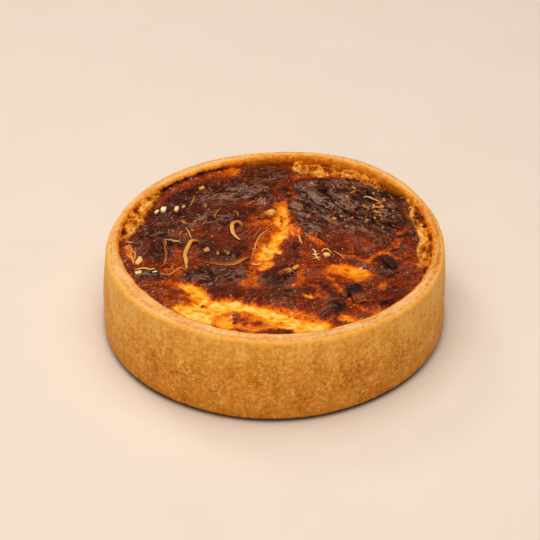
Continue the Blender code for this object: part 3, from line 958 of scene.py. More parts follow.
@dataclass(frozen=True)
class CustardBake:
    """The custard's marks on the layout plane. Later marks lie over earlier ones.

    bake is how far a place is baked: 0 is pale yellow and 1 is black; a few of its marks paint
    shade, shadows and highlights. ash is how much of the grey-brown skin covers it, skin is how
    light that skin is, its lighter marks partly a painted sheen, and wet how glossy it is. torn
    is where the custard on the wall shows bare, and bare how light it is there, with a painted
    shadow below the back rim. Each burnt pit is a place and its half length.
    """

    ground: float = 0.67
    dome: Patch = Patch(
        ((9, 47), (13, 50), (16, 53), (13, 60), (12, 66), (15, 70), (24, 72), (34, 74), (44, 75), (52, 73),
         (60, 68), (67, 61), (73, 53), (76, 44), (78.5, 34), (79, 26), (76, 20), (71, 15), (71, 9), (65, 3),
         (58, -2), (52, -7), (44, -8), (38, -6), (34, 1), (28, 8), (21, 13), (17, 18), (15, 24), (11, 34),
         (9, 42)), 0.8,
    )
    bake: tuple = (
        # the skin at the back left, darker and redder in places
        Patch(((-72, 47), (-70, 54), (-62, 60), (-54, 65), (-44, 71), (-34, 74), (-24, 70), (-14, 67),
            (-5, 62), (0, 54), (-1, 46), (-8, 41), (-14, 34), (-17, 24), (-20, 14), (-28, 8), (-40, 6),
            (-52, 2), (-64, -4), (-78, -8), (-84, 2), (-80, 18), (-76, 28), (-74, 38)), 0.8, 2.5),
        Oval(-54, 53, 15, 9, 0.91, 24, 0.5), Oval(-58, 35, 17, 6, 0.87, 0, 0.5),
        Oval(-35, 55, 6, 12, 0.88, -20), Oval(-43, 49, 9, 6, 0.68, -20, 0.5), Oval(-27, 30, 5, 9, 0.9, -40),
        Oval(-16, 47, 6, 4, 0.68), Oval(-8, 44, 5, 4, 0.66), Oval(-38, 33, 10, 8, 0.82, 30, 0.5),
        Oval(-50, 22, 12, 5, 0.76, 0, 0.5), Oval(-56, 13, 6, 5, 0.64), Oval(-44, 16, 6, 5, 0.66),
        Oval(-32, 15, 8, 7, 0.7), Oval(-73, 13, 8, 6, 0.95, 10, 0.5), Oval(-60, 5, 7, 5, 0.95, 0, 0.5),
        Oval(-78, -4, 6, 7, 0.74), Oval(-69, -6, 5, 9, 0.92, 10), Oval(-40, 3, 8, 6, 0.88, 0, 0.5),
        Line(((-42, -6), (-34, -8), (-26, -8), (-22, -2)), 5, 0.92), Oval(-26, 4, 8, 6, 0.74),
        Oval(-57, -10, 3, 8, 0.58), Oval(-47, -8, 3, 7, 0.62, 10),
        Line(((-72, 44), (-70, 52), (-66, 60), (-57, 67), (-46, 75), (-36, 80)), 3.6, 0.59),
        # painted shadow: the dark gully along the wall at the back left
        Line(((-71, 60), (-63, 68), (-56, 73), (-49, 78), (-42, 83)), 2.2, 0.95),
        # the back
        Patch(((-36, 84), (-38, 78), (-30, 76), (-22, 77), (-19, 84), (-26, 88)), 0.52, 2),
        Patch(((-32, 84), (-28, 79), (-22, 80), (-21, 85), (-27, 87)), 0.4),
        Patch(((-20, 85), (-20, 76), (-15, 70), (-6, 69), (3, 71), (10, 72), (14, 76), (12, 84), (8, 89),
            (-4, 91), (-15, 90)), 0.73, 1.6),
        Line(((-24, 72), (-14, 68), (-4, 67), (4, 69)), 1.8, 0.9), Oval(-6, 82, 10, 4, 0.8),
        Line(((14, 75), (24, 76), (36, 78), (46, 78)), 2.8, 0.54),
        Line(((14, 71), (20, 73), (30, 74)), 1.4, 0.84), Oval(6, 66, 4, 4, 0.7), Oval(6, 61, 3, 3, 0.95),
        # the orange skin left of the crack
        Patch(((-14, 34), (-6, 33), (-1, 26), (-1, 16), (-6, 6), (-9, -2), (-13, 2), (-12, 14), (-17, 24)),
            0.56, 2),
        Oval(-6, 24, 6, 7, 0.46, 20), Oval(-12, 12, 5, 8, 0.64, -20),
        Line(((-2, 22), (-5, 14), (-8, 4), (-10, -6), (-10, -12)), 2.6, 0.47),
        # the dark band over the yellow front
        Patch(((-48, -21), (-38, -18), (-26, -19), (-16, -18), (-14, -24), (-18, -31), (-26, -34),
            (-36, -37), (-46, -34), (-52, -28)), 0.81, 1.8),
        Oval(-45, -28, 7, 4, 0.91), Oval(-34, -34, 7, 3, 0.9, 20), Oval(-26, -24, 8, 4, 0.84),
        Patch(((-82, -22), (-68, -22), (-64, -28), (-62, -34), (-70, -36), (-80, -34)), 0.78, 2),
        Oval(-73, -26, 6, 3.5, 0.88), Oval(-58, -24, 7, 4, 0.56, -10),
        # the leathery flap at the front left
        Patch(((-76, -36), (-66, -32), (-58, -33), (-54, -38), (-49, -43), (-46, -50), (-44, -54),
            (-50, -57), (-58, -57), (-66, -51), (-74, -44), (-80, -38)), 0.53, 1.6),
        Line(((-70, -38), (-62, -40), (-54, -44)), 1.4, 0.66),
        Line(((-66, -46), (-56, -49), (-48, -52)), 1.2, 0.64), Oval(-72, -42, 6, 3, 0.68, -36),
        # browned ground at the front
        Oval(-33, -41, 9, 5, 0.78, 0, 0.5), Oval(-20, -43, 12, 6, 0.68, 0, 0.5),
        Oval(-15, -35, 5, 3.6, 0.44, 10), Oval(-9, -46, 7, 4, 0.72),
        Line(((-12, -16), (-13, -26), (-11, -36)), 3.2, 0.47),
        Patch(((0, -40), (10, -41), (17, -44), (17, -50), (8, -51), (-2, -50), (-4, -44)), 0.83, 2),
        Oval(14, -55, 14, 4, 0.67, -6),
        Line(((-6, -56), (6, -59), (16, -61), (26, -66), (33, -70)), 2.6, 0.6),
        Patch(((-4, -22), (4, -18), (12, -18), (15, -24), (9, -32), (2, -42), (-5, -38), (-8, -30)), 0.88,
            2),
        Oval(3, -33, 5, 5, 0.97), Line(((12, -22), (6, -30), (0, -38)), 1.2, 0.98),
        Line(((19, -14), (17, -22), (15, -30), (12, -38)), 3, 0.5),
        # the tent of skin by the crack
        Patch(((9, 4), (12, 10), (15, 12), (18, 6), (19, -6), (13, -12), (6, -9), (5, -4)), 0.66, 1.6),
        Oval(12.6, 1, 2.4, 4, 0.9), Oval(10, -9, 4, 3.6, 0.84),
        # red-brown ground at the right front
        Oval(24, -6, 8, 6, 0.62), Oval(22, -16, 7, 5, 0.64), Oval(24, -30, 6, 5, 0.66),
        Patch(((17, -33), (24, -36), (30, -41), (31, -49), (26, -50), (21, -43)), 0.5, 1.6),
        Oval(20, -43, 4, 4, 0.8), Line(((29, -40), (33, -47)), 2.6, 0.84),
        Patch(((56, -22), (60, -26), (60, -44), (56, -52), (52, -44), (54, -32)), 0.62, 1.6),
        Patch(((60, -10), (66, -7), (71, -14), (71, -26), (65, -32), (60, -28), (58, -18)), 0.86, 1.8),
        Patch(((71, -6), (82, -4), (86, -20), (80, -36), (72, -36), (70, -22)), 0.63, 2.5),
        Oval(76, -27, 4, 6, 0.76, 10), Oval(63, -41, 10, 6, 0.8, -30, 0.5), Oval(70, -44, 8, 4, 0.78, -40),
        Oval(54, -52, 8, 5, 0.72), Oval(55, -62, 6, 4, 0.46, 30), Oval(61.5, -38, 2.6, 4, 0.38, -15),
        Patch(((30, -50), (38, -50), (41, -56), (38, -62), (34, -67), (30, -62), (29, -55)), 0.85, 1.8),
        Oval(35, -57, 2.6, 5, 0.98), Oval(28, -63, 3, 4, 0.8), Oval(46, -60, 6, 3, 0.64, -40),
        Oval(33, -74, 5, 4, 0.64, 10, 0.5), Oval(40, -72, 5, 2.4, 0.66, 20),
        Patch(((33, -66), (38, -64), (46, -68), (50, -70), (44, -72), (36, -70)), 0.32),
        # orange at the dome's foot
        Patch(((9, 26), (14, 24), (17, 18), (16, 11), (11, 10), (8, 14)), 0.44, 1.6),
        Patch(((18, 14), (22, 14), (29, 8), (30, 2), (25, 2), (21, 7)), 0.46, 1.6),
        Patch(((10, 50), (15, 54), (20, 52), (17, 47), (12, 46)), 0.44),
        Patch(((-1, 48), (6, 49), (9, 45), (8, 34), (2, 33), (0, 40)), 0.42),
        # the crack down the middle
        Patch(((2, 45), (7, 46), (10, 40), (9, 32), (9.5, 24), (10, 16), (8, 10), (5, 6), (3, 1), (2, -4),
            (0, -9), (-4, -13), (-9, -16), (-11, -11), (-10, -5), (-8, 0), (-4, 4), (-3, 9), (-2, 14),
            (1, 19), (-1, 24), (-1, 30), (1, 34), (1.5, 40)), 0.33, 2.2),
        Patch(((5, 41), (8, 41), (7, 32), (8, 24), (8, 14), (5, 8), (2, 4), (1, -2), (-2, -8), (-6, -12),
            (-9, -12), (-8, -6), (-5, 0), (-2, 4), (-1, 10), (3, 14), (4, 22), (1, 25), (1, 30), (4, 33)),
            0.17, 1.6),
        # the oval at (2, 11) paints a highlight on the wet custard
        Oval(2, 11, 3.6, 1.8, 0.03, 10), Oval(2.5, 26, 1.8, 3.4, 0.12), Oval(-4, -3, 2.6, 5, 0.1, 20),
        Line(((4.4, 33), (4, 22)), 0.9, 0.44),
        Patch(((-9, -16), (-5, -14), (0, -15), (-1, -19), (-4, -22), (-8, -24), (-10, -21)), 0.27),
        Oval(2.4, -5, 1.6, 2.4, 0.06, 10), Oval(-5, -10, 3.4, 3.4, 0.18),
        # the crack along the front
        Patch(((-58, -36), (-48, -35), (-40, -40), (-36, -46), (-35, -50), (-26, -49), (-17, -51),
            (-10, -56), (-2, -58), (8, -60.5), (16, -63), (24, -67), (31, -72), (34, -78), (20, -82),
            (-2, -80), (-40, -75), (-58, -62), (-56, -55), (-47, -54), (-49, -46), (-54, -40)), 0.38, 2.2),
        Patch(((-55, -36.5), (-48, -37), (-42, -41), (-39, -47), (-37, -53), (-43, -54), (-47, -47),
            (-51, -42)), 0.17, 0.9),
        Patch(((-57, -59), (-50, -55), (-42, -55), (-32, -53), (-22, -52.5), (-15, -57), (-6, -60),
            (3, -64), (12, -69), (20, -72), (28, -75), (28, -80), (14, -81), (5, -78), (0, -72), (-8, -66),
            (-16, -61), (-26, -61), (-32, -65), (-36, -74), (-46, -69)), 0.13, 1.1),
        Line(((-34, -57), (-24, -56), (-14, -58.5)), 1.8, 0.04), Oval(-41, -54, 5, 3, 0.15),
        Oval(-37, -66, 5, 4, 0.14), Oval(-4, -72, 5, 3, 0.16, -30),
        # the oval at (11, -72) paints a highlight on the wet custard
        Line(((-46, -66), (-41, -62), (-38, -66)), 2.4, 0.07), Oval(11, -72, 5, 3, 0.03, -40),
        Oval(25, -76, 4, 2.4, 0.03, 10), Oval(5, -68, 6, 2.6, 0.1, -30),
        Patch(((-32, -65), (-26, -61.5), (-19, -61.5), (-12, -65), (-5, -69), (-1, -75), (-3, -81),
            (-24, -82), (-32, -78), (-34, -71)), 0.35, 1),
        Patch(((-31, -69), (-26, -67), (-23, -71), (-24, -77), (-31, -77)), 0.2),
        Line(((-22, -65), (-22, -72)), 1.5, 0.72), Oval(-17, -70, 4, 3, 0.52), Oval(-10, -73, 3, 2, 0.62),
        Oval(-20, -79.5, 6, 2, 0.6, 0, 0.5), Oval(3, -80, 7, 2.4, 0.8, 0, 0.5),
        Oval(-5, -80, 5, 2, 0.66, 0, 0.5), Oval(3, -73, 3, 1.6, 0.34),
        # the bright patch at the right, and lighter edges; along the ridge at the dome's foot the lighter
        # lines are a painted highlight and the dark line under them a painted shadow
        Patch(((27, -21), (34, -16), (41, -17), (48, -20), (55, -23), (57, -28), (53, -33), (47, -34),
            (43, -31), (36, -29), (30, -26)), 0.38, 2),
        Patch(((33, -18), (40, -18), (48, -21), (54, -25), (52, -30), (46, -29), (40, -26), (35, -23)),
            0.29, 1.6),
        Oval(44, -23, 3.4, 2.6, 0.22, -30), Oval(38, -31, 5, 2, 0.56, -40),
        Oval(19, -47.5, 4.4, 1.6, 0.24, -28), Line(((28, -26), (33, -33), (37, -40), (41, -48)), 1.5, 0.44),
        Line(((41, -46), (45, -54), (50, -62)), 1.3, 0.44),
        Line(((57, -13), (61, -8), (66, -5), (72, -3), (76, 3), (79, 10)), 1.5, 0.84),
        Line(((37, -5), (41, -9), (47, -10), (51, -13), (55, -15)), 1, 0.42),
        Line(((55, -14), (58, -8), (62, -4), (68, -1.5), (72, 1), (76, 9), (79, 13)), 1.1, 0.47),
        Oval(73, 6, 2.4, 5, 0.5, -30), Line(((60, -7), (66, -6), (71, -11)), 1.3, 0.42),
        Line(((70, 16), (75, 14), (78, 18)), 1.8, 0.46),
        Line(((-87, 0), (-84, -10), (-80, -16)), 1.8, 0.38),
        # knobs and burnt spots
        Oval(63, -54, 5, 2.4, 0.98, 38, 0.4), Oval(38.5, -46.5, 2.2, 2.6, 0.95, 0, 0.5),
        Oval(-30, -42, 3.4, 3.4, 0.88, 0, 0.5), Oval(-23.5, -45.5, 4, 3, 0.78, 0, 0.5),
        Oval(-16, -53, 2.4, 1.8, 0.72), Oval(-40, -57, 1.6, 1.2, 0.66),
        # the gap between the dome and the ledge at the right, and the ledge's join at the left: painted shade
        # over their darker bake
        Line(((69, 62), (73.5, 56), (77.5, 49), (80, 41), (80, 34), (80, 28), (82, 20), (84, 12), (84, 2)),
            3, 0.78),
        Oval(74, 55, 4, 7, 0.95, 25), Oval(79.6, 34, 1.4, 4, 0.6), Oval(82.6, 13, 1.6, 7, 0.86),
        Oval(79, 9, 3, 6, 0.7, 20),
        Line(((-69, 63), (-70.5, 54), (-72.5, 44), (-76, 37), (-76.6, 28), (-80, 20), (-82, 12)), 1.5,
            0.72),
        Line(((73, 10), (79, 14)), 1.4, 0.96),
    )
    torn: tuple = (
        Patch(((-69.5, 66), (-71, 58), (-72, 50), (-74.5, 44), (-77.5, 38), (-78.5, 30), (-79, 25),
            (-82, 20), (-83.5, 14), (-87, 8), (-98, 4), (-100, 30), (-90, 55), (-78, 70)), 1, 0.7),
        Patch(((11, 91), (11, 83), (16, 80), (22, 79), (26, 76.5), (31, 76.5), (36, 78.5), (40, 76),
            (46, 75), (52, 72), (56, 69), (60, 66), (66, 62.5), (70, 61.5), (76, 66), (66, 84), (40, 98),
            (14, 100)), 1, 0.7),
        Patch(((78, 62), (80, 54), (82, 46), (83, 42), (81.5, 37), (81.5, 30), (83.5, 25), (84.5, 20),
            (85, 12), (84.5, 4), (83.5, -4), (83, -9), (84, -14), (82, -18), (82, -21), (86, -25),
            (94, -25), (100, -10), (100, 40), (90, 62)), 1, 0.7),
    )
    bare: tuple = (
        Oval(-84, 44, 4, 12, 0.4, -25), Oval(-75, 56, 3, 7, 0.42, -15), Oval(-76, 46, 2.4, 4, 0.74, -20),
        Oval(-79.5, 39, 2.4, 3.4, 0.72, -20), Oval(-82, 32, 3, 4, 0.52), Oval(-79.5, 26, 2, 4, 0.8, 10),
        Oval(-84, 17, 3, 6, 0.74, -20), Oval(-76, 51.5, 1.6, 1.8, 0.1), Oval(-88, 27, 1.3, 5, 0.18, -10),
        Oval(-85, 38, 1.1, 3, 0.22, -10), Oval(-90, 16, 1.2, 3, 0.15),
        # painted shadow: the darker band below the back rim, in this line and the next
        Line(((12, 91), (24, 91.5), (40, 90), (50, 86), (60, 79), (68, 71)), 2.6, 0.36),
        Line(((16, 88), (24, 88.5), (34, 87)), 1.4, 0.22), Oval(15, 85, 3.4, 3, 0.8),
        Oval(15, 81, 2.4, 1.4, 0.82), Oval(21, 84, 3, 3.4, 0.34), Oval(29, 81, 6, 4, 0.72, -10),
        Oval(30, 77.5, 3, 1.4, 0.84), Oval(45, 79, 5, 3, 0.56, -20), Oval(56, 73, 9, 5, 0.46, -38),
        Line(((58, 79), (63, 74), (67, 68), (70, 64)), 0.9, 0.88),
        Line(((60, 76), (65, 70), (68, 65)), 0.9, 0.2), Oval(41, 77, 1.2, 0.9, 0), Oval(50, 74, 1.3, 1, 0),
        Oval(56, 71.5, 1.4, 1, 0), Oval(48, 80, 1, 0.8, 0.1),
        Patch(((83, 42), (90, 48), (94, 20), (93, -24), (84, -24), (84, 0), (85, 20), (82, 30)), 0.26, 1.5),
        Patch(((78, 62), (80, 54), (82, 46), (86, 46), (91, 48), (86, 60)), 0.62, 1),
        Line(((82.5, 44), (83.5, 40), (82.4, 34), (82.4, 28), (85, 20), (85.5, 12), (85.4, 4), (84.8, -4),
            (84, -8)), 0.9, 0.84),
        Oval(87, 18, 2.4, 4, 0.46, 20), Line(((88, 23), (86, 14), (90, 8), (86, 3)), 0.8, 0.9),
        Oval(87.4, 36, 1.5, 7, 0.1, 8), Oval(89.6, 26, 1.3, 4, 0.12, 10), Oval(88.5, 8, 2.4, 2, 0.62),
        Oval(88, -11, 2.6, 4, 0.42, 30), Oval(91.6, 5, 1, 5, 0.12), Oval(88.4, 0, 2.2, 5, 0.26),
        Oval(84.5, -14, 1.8, 2.4, 0.74, 30), Oval(88, -19, 2, 2, 0.3), Oval(86, -24, 3.4, 2, 0.02, -30),
    )
    dome_bake: tuple = (
        # painted shadow: the dark line in the trough behind the fold ridge by the crack
        Line(((17, 53), (21, 48), (26, 42), (31, 36), (35, 31)), 1.8, 0.95),
        Oval(29, 62, 2, 3.4, 0.97, 0, 0.5), Oval(35, 55, 2.6, 5, 0.96, -20), Oval(41, 62, 4, 2, 0.9, 20),
        Oval(57, 60, 2.4, 4, 0.96), Oval(52, 32, 10, 5, 0.88, -35), Oval(34, 44, 6, 4, 0.9, -30),
        Oval(30, 31, 8, 2, 0.7, -42), Oval(23, 19, 6, 4, 0.88, -30), Oval(38, 9, 10, 3, 0.86, -45),
        Oval(36, 25, 4, 2.4, 0.62, -40), Oval(46, 6, 24, 11, 0.66, -24, 0.7), Oval(46, 3, 3, 7, 0.6, 20),
        Oval(53, 3, 2.4, 6, 0.54, 20), Oval(44, -5, 4.6, 2.6, 0.5), Oval(35, 3, 2.4, 5, 0.6, -30),
        Oval(66, 9, 6, 5, 0.76, 30), Oval(46, 75, 2.4, 1.6, 0.98, 0, 0.5),
        Oval(52, 73, 2, 1.4, 0.98, 0, 0.5), Oval(57, 71, 1.6, 1.2, 0.98, 0, 0.5),
    )
    ash: tuple = (
        Oval(-18, 58, 16, 9, 0.9, 4, 0.5), Oval(-6, 49, 8, 4, 0.8, 0, 0.5), Oval(-40, 54, 10, 12, 0.6, -20),
        Oval(-28, 30, 7, 7, 0.62, -30), Oval(-48, 30, 14, 8, 0.5), Oval(-60, 22, 12, 6, 0.48),
        Oval(-36, 20, 8, 6, 0.35), Oval(-70, 14, 10, 7, 0.5), Oval(-64, -6, 5, 6, 0.3),
        Oval(-32, -27, 18, 6, 0.45), Oval(-73, -27, 7, 4, 0.5), Oval(-5, 79, 14, 8, 0.6, 0, 0.5),
        Oval(8, -46, 9, 3.4, 0.3), Oval(66, -20, 4, 9, 0.55, -10), Oval(35, -54, 4, 4, 0.35),
    )
    skin: tuple = (
        Oval(40, 66, 9, 7, 0.8), Oval(43, 48, 10, 4, 0.85, -25), Oval(67, 38, 9, 9, 0.72),
        Oval(20, 68, 6, 4, 0.8), Oval(60, 66, 8, 3, 0.62, -40),
        # painted highlight: the light line along the fold ridge by the crack; the dark line from (17, 50) to
        # (31, 35) below paints the shadow behind it
        Line(((11, 46), (18, 44), (25, 38), (32, 31), (40, 25), (48, 20), (57, 17)), 2.6, 0.92),
        Patch(((10, 44), (16, 42), (22, 33), (17, 25), (13, 22), (10, 30)), 0.78, 2),
        Oval(44, 17, 12, 3, 0.7, -12), Oval(38, 15, 6, 3, 0.66, -50),
        Line(((17, 50), (24, 42), (31, 35)), 1.8, 0.1), Oval(30, 55, 9, 6, 0.25, -30),
        Oval(56, 30, 10, 4, 0.22, -30), Oval(-18, 60, 10, 4, 0.8), Oval(-6, 50, 6, 3, 0.9),
        Oval(-36, 52, 6, 8, 0.62), Oval(-58, 50, 12, 8, 0.3, 20), Oval(-70, 14, 10, 6, 0.3),
    )
    burnt_pits: tuple = (
        (45, 73.8, 1.3), (46.8, 72.4, 1.2), (51.2, 72.1, 2), (56.2, 70, 1.7), (47.6, 66.2, 1),
        (55, 63.4, 1.2), (60.6, 64.8, 1), (51.6, 57.9, 1.6), (56.8, 58.6, 1.4), (57.8, 55.8, 1.4),
        (54, 52.8, 1.4), (60, 52.8, 1.1), (57, 48.9, 2.2), (58.6, 37.2, 1.7), (56.2, 31.5, 1.2),
        (61, 22, 1), (45.6, 33.5, 1.3), (66, 56, 1), (64, 40.5, 0.9), (70, 34, 0.9), (38, 58, 1.2),
        (33, 64, 1.3), (27, 57, 1.1), (41, 40, 1.1),
    )
    wet: tuple = (
        Oval(3, -31, 12, 9, 0.9, 20, 0.5), Oval(-26, -71, 14, 8, 1, -12, 0.5),
        Oval(8, -71, 18, 8, 0.7, -14, 0.5), Line(((5, 44), (4, 20), (-4, 0), (-10, -20)), 8, 0.7),
        Oval(42, -23, 14, 7, 0.7, -28, 0.5), Oval(40, 6, 24, 12, 0.45, -28), Oval(68, -16, 10, 14, 0.7),
        Oval(57, -36, 6, 14, 0.8), Oval(-33, -34, 8, 5, 0.5), Oval(80, 30, 4, 26, 0.8, 5),
    )

    def pitted_skin(self) -> tuple:
        """The skin's marks, with the burnt pits over them."""
        return self.skin + tuple(Oval(x, y, reach, 0.75 * reach, -0.7) for x, y, reach in self.burnt_pits)


@dataclass(frozen=True)
class Texture:
    """Fine uneven fields of the custard: round 0, but for the pit and the hole, which are 1 at their middles.

    folds, curd and strings are ridges that run one way, lumps, curl, bumps, patchy and small are
    rounded, and grain is the finest. strings, curl and hole are for the torn custard on the wall.
    """

    folds: Array
    curd: Array
    strings: Array
    lumps: Array
    curl: Array
    bumps: Array
    patchy: Array
    small: Array
    grain: Array
    pit: Array
    hole: Array


class Custard:
    """The custard and its skin, as one closed mesh with its bake worked out at each corner."""

    grid: int = 296
    sink: float = 6.3
    wall_reach: float = 0.35
    middle_value: float = 0.6

    def __init__(self, size: QuicheSize, shape: CustardShape, bake: CustardBake) -> None:
        """Keeps the sizes, the forms and the marks."""
        self.size = size
        self.shape = shape
        self.bake = bake

    def ledge_field(self, x: Array, y: Array) -> tuple[Array, Array]:
        """The torn custard on the wall: a steep edge, then a slope up to the wall.

        Args:
            x: Places to the right.
            y: Places to the back.

        Returns:
            Its height, and 1 where it is.
        """
        shape = self.shape
        bearing = np.degrees(np.arctan2(y, x))
        to_wall = self.size.inner_radius + waves(np.radians(bearing), self.size.inner) - np.hypot(x, y)
        ragged = noise(x, y, 5.0, 31)
        height = np.zeros(np.shape(x))
        mask = np.zeros(np.shape(x))
        for ledge in shape.ledges:
            part = np.clip((bearing - ledge.start) / (ledge.end - ledge.start), 0.0, 1.0)
            width = ledge.width * np.sin(math.pi * part) ** 0.6 + 1.2 * ragged
            edge = ramp(width - to_wall, 0.0, shape.torn_step) * (part > 0) * (part < 1)
            slope = np.clip(1.0 - to_wall / np.maximum(width, shape.torn_step), 0.0, 1.0)
            height += ledge.rise * edge * (shape.torn_share + (1.0 - shape.torn_share) * slope)
            mask = np.maximum(mask, edge)
        return height * (0.85 + 0.3 * ragged), mask

    def form(self, x: Array, y: Array) -> Array:
        """The solid part's height: a level plus mounds, creases, ledges and wrinkles."""
        bend_x = x + 2.2 * noise(x, y, 13.0, 41)
        bend_y = y + 2.2 * noise(x, y, 13.0, 42)
        height = np.full(np.shape(x), self.size.fill_level)
        for mound in self.shape.mounds:
            height += mound.amount * mound.mask(bend_x, bend_y)
        for crease in self.shape.creases:
            height += crease.amount * crease.bell(bend_x, bend_y)
        for spacing, rise, seed in self.shape.wrinkles:
            height += rise * (0.5 - 1.6 * np.abs(noise(x, y, spacing, seed)))
        return height + self.ledge_field(x, y)[0]

    def wrinkle(self, x: Array, y: Array, run: float, stretch: float, spacing: float, seed: int) -> Array:
        """Ridges that run one way: 1 on a crest and about -0.6 between, from 1 minus folded noise."""
        bend_x = x + 1.6 * noise(x, y, 7.0, seed + 1)
        bend_y = y + 1.6 * noise(x, y, 7.0, seed + 2)
        along, across = along_across(bend_x, bend_y, math.radians(run))
        return 1.0 - 3.2 * np.abs(noise(along / stretch, across, spacing, seed))

    def texture(self, x: Array, y: Array, dome: Array) -> Texture:
        """The fine fields. Folds run one way on the dome and another way off it."""
        streak = 0.6 * self.wrinkle(x, y, -40.0, 2.6, 4.4, 81) + 0.5 * self.wrinkle(x, y, -30.0, 2.2, 2.2, 87)
        cross = 0.6 * self.wrinkle(x, y, 25.0, 1.5, 4.6, 84) + 0.5 * self.wrinkle(x, y, -60.0, 1.5, 2.6, 89)
        round_wall = self.size.inner_radius * np.arctan2(y, x)
        string = np.abs(layered(round_wall / 1.7, np.hypot(x, y), 4.4, 97, 2))
        return Texture(
            folds=streak * dome + cross * (1.0 - dome),
            curd=self.wrinkle(x, y, -15.0, 1.7, 3.6, 151),
            strings=np.clip(1.0 - 4.5 * string, -0.6, 1.0),
            lumps=layered(x, y, 5.6, 99, 2),
            curl=layered(x, y, 7.5, 131, 2),
            bumps=layered(x, y, 3.0, 93, 2),
            patchy=layered(x, y, 6.0, 73),
            small=layered(x, y, 2.2, 75, 2),
            grain=noise(x, y, 1.3, 91),
            pit=pits(x, y, 4.4, 95, 0.62, 0.7),
            hole=pits(x, y, 3.4, 141, 0.75, 0.55),
        )

    def relief(self, fine: Texture, yellow: Array, on_ledge: Array, ledge: Array) -> Array:
        """How far the skin stands over the solid's form.

        Args:
            fine: The fine fields.
            yellow: 1 where the skin has torn open and the pale inside shows.
            on_ledge: 1 on the solid's ledges.
            ledge: 1 where the torn custard on the wall shows.

        Returns:
            Heights in millimetres. A torn place lies lower by the skin's thickness.
        """
        height = 0.40 * fine.folds * (1.0 - 0.6 * yellow) + 0.22 * fine.bumps + 0.12 * fine.grain
        height += (0.55 * fine.lumps + 0.30 * fine.curd) * yellow
        height -= (0.55 * yellow + 0.45 * fine.pit) * (1.0 - on_ledge)
        height += ledge * (0.55 * fine.strings + 0.5 * fine.curl - 0.9 * fine.hole - 0.3)
        return height - 1.5 * on_ledge * (1.0 - ledge)

    def flow(self, x: Array, y: Array, dome: Array) -> tuple[Array, Array]:
        """Millimetres along and across the finest wrinkles, which turn with the folds."""
        bend_x = x + 7.0 * layered(x, y, 24.0, 121)
        bend_y = y + 7.0 * layered(x, y, 24.0, 122)
        return along_across(bend_x, bend_y, np.radians(np.where(dome > 0.5, -40.0, 18.0)))

    def surface(self, x: Array, y: Array) -> tuple[Array, dict]:
        """The skin's height and its named values.

        Marks are read on the layout plane, at places bent by noise so that their edges are torn.

        Args:
            x: Places to the right.
            y: Places to the back.

        Returns:
            The height, and the bake, ash, skin, ledge, dry, along and across values.
        """
        marks = self.bake
        form = self.form(x, y)
        on_ledge = self.ledge_field(x, y)[1]
        seen_x, seen_y = VIEW.carried(x, y, form, VIEW.layout_height)
        bend_x = seen_x + 1.5 * layered(x, y, 8.0, 61) + 0.7 * noise(x, y, 1.9, 62)
        bend_y = seen_y + 1.5 * layered(x, y, 8.0, 63) + 0.7 * noise(x, y, 1.9, 64)
        edge_x = seen_x + 2.2 * layered(x, y, 3.2, 77, 2)
        edge_y = seen_y + 2.2 * layered(x, y, 3.2, 78, 2)
        dome = marks.dome.mask(bend_x, bend_y)
        bake = painted(bend_x, bend_y, marks.ground, marks.bake) * (1.0 - dome)
        bake += painted(bend_x, bend_y, marks.dome.amount, marks.dome_bake) * dome
        yellow = 1.0 - ramp(bake, 0.18, 0.46)
        ledge = painted(edge_x, edge_y, 0.0, marks.torn) * ramp(np.hypot(x, y), 76.0, 80.0)
        low_front = ramp(-bend_y - 0.15 * bend_x, -35.0, -15.0)
        ash = np.maximum(painted(bend_x, bend_y, 0.0, marks.ash), dome * (0.88 - 0.74 * low_front))
        ash = ash * ramp(layered(x, y, 7.0, 71), -0.9, -0.1) * (1.0 - ledge)
        fine = self.texture(x, y, dome)
        height = form + self.relief(fine, yellow, on_ledge, ledge)
        calm = np.clip(0.55 + 0.45 * ramp(bake, 0.15, 0.5) - 0.25 * ash, 0.0, 1.0)
        bake = bake + calm * (0.09 * fine.patchy + 0.045 * fine.small)
        # painted light and shade: the bake lighter on fold crests and darker between them
        bake += 0.25 * fine.pit * (1.0 - 0.3 * yellow) - 0.06 * fine.folds * (1.0 - yellow)
        # painted light and shade in the pale cracks: lighter on the raised lumps and curds
        bake -= (0.13 * fine.lumps + 0.10 * fine.curd) * yellow
        skin = 0.10 + 0.75 * painted(bend_x, bend_y, 0.40, marks.pitted_skin()) - 0.3 * fine.pit
        # painted sheen: the skin lighter on the fold crests
        skin += 0.12 * fine.folds + 0.22 * fine.patchy + 0.16 * fine.small + 0.08 * fine.grain
        # painted light and shade on the torn custard: darker in its holes, lighter on its raised strings and
        # curls
        bare = painted(edge_x, edge_y, 0.42, marks.bare) - 0.60 * fine.hole
        bare += 0.26 * fine.strings + 0.34 * fine.curl + 0.12 * fine.small
        along, across = self.flow(x, y, dome)
        return height, {
            "bake": np.clip(bake, 0.0, 1.0),
            "ash": ash,
            "skin": skin * (1.0 - ledge) + bare * ledge,
            "ledge": ledge,
            "dry": np.clip(0.80 + 0.15 * ash - painted(bend_x, bend_y, 0.2, marks.wet), 0.0, 1.0),
            "along": along,
            "across": across,
        }

    def disc(self) -> tuple[Array, Array]:
        """A square grid pressed into a round one of radius 1 (concentric squares become circles)."""
        line = np.linspace(-1.0, 1.0, self.grid + 1)
        across, up = np.meshgrid(line, line, indexing="ij")
        sideways = np.abs(across) > np.abs(up)
        radius = np.where(sideways, across, up)
        eighth = math.pi / 4
        by_up = eighth * up / np.where(across == 0, 1.0, across)
        by_across = 2 * eighth - eighth * across / np.where(up == 0, 1.0, up)
        bearing = np.where(sideways, by_up, by_across)
        return radius * np.cos(bearing), radius * np.sin(bearing)

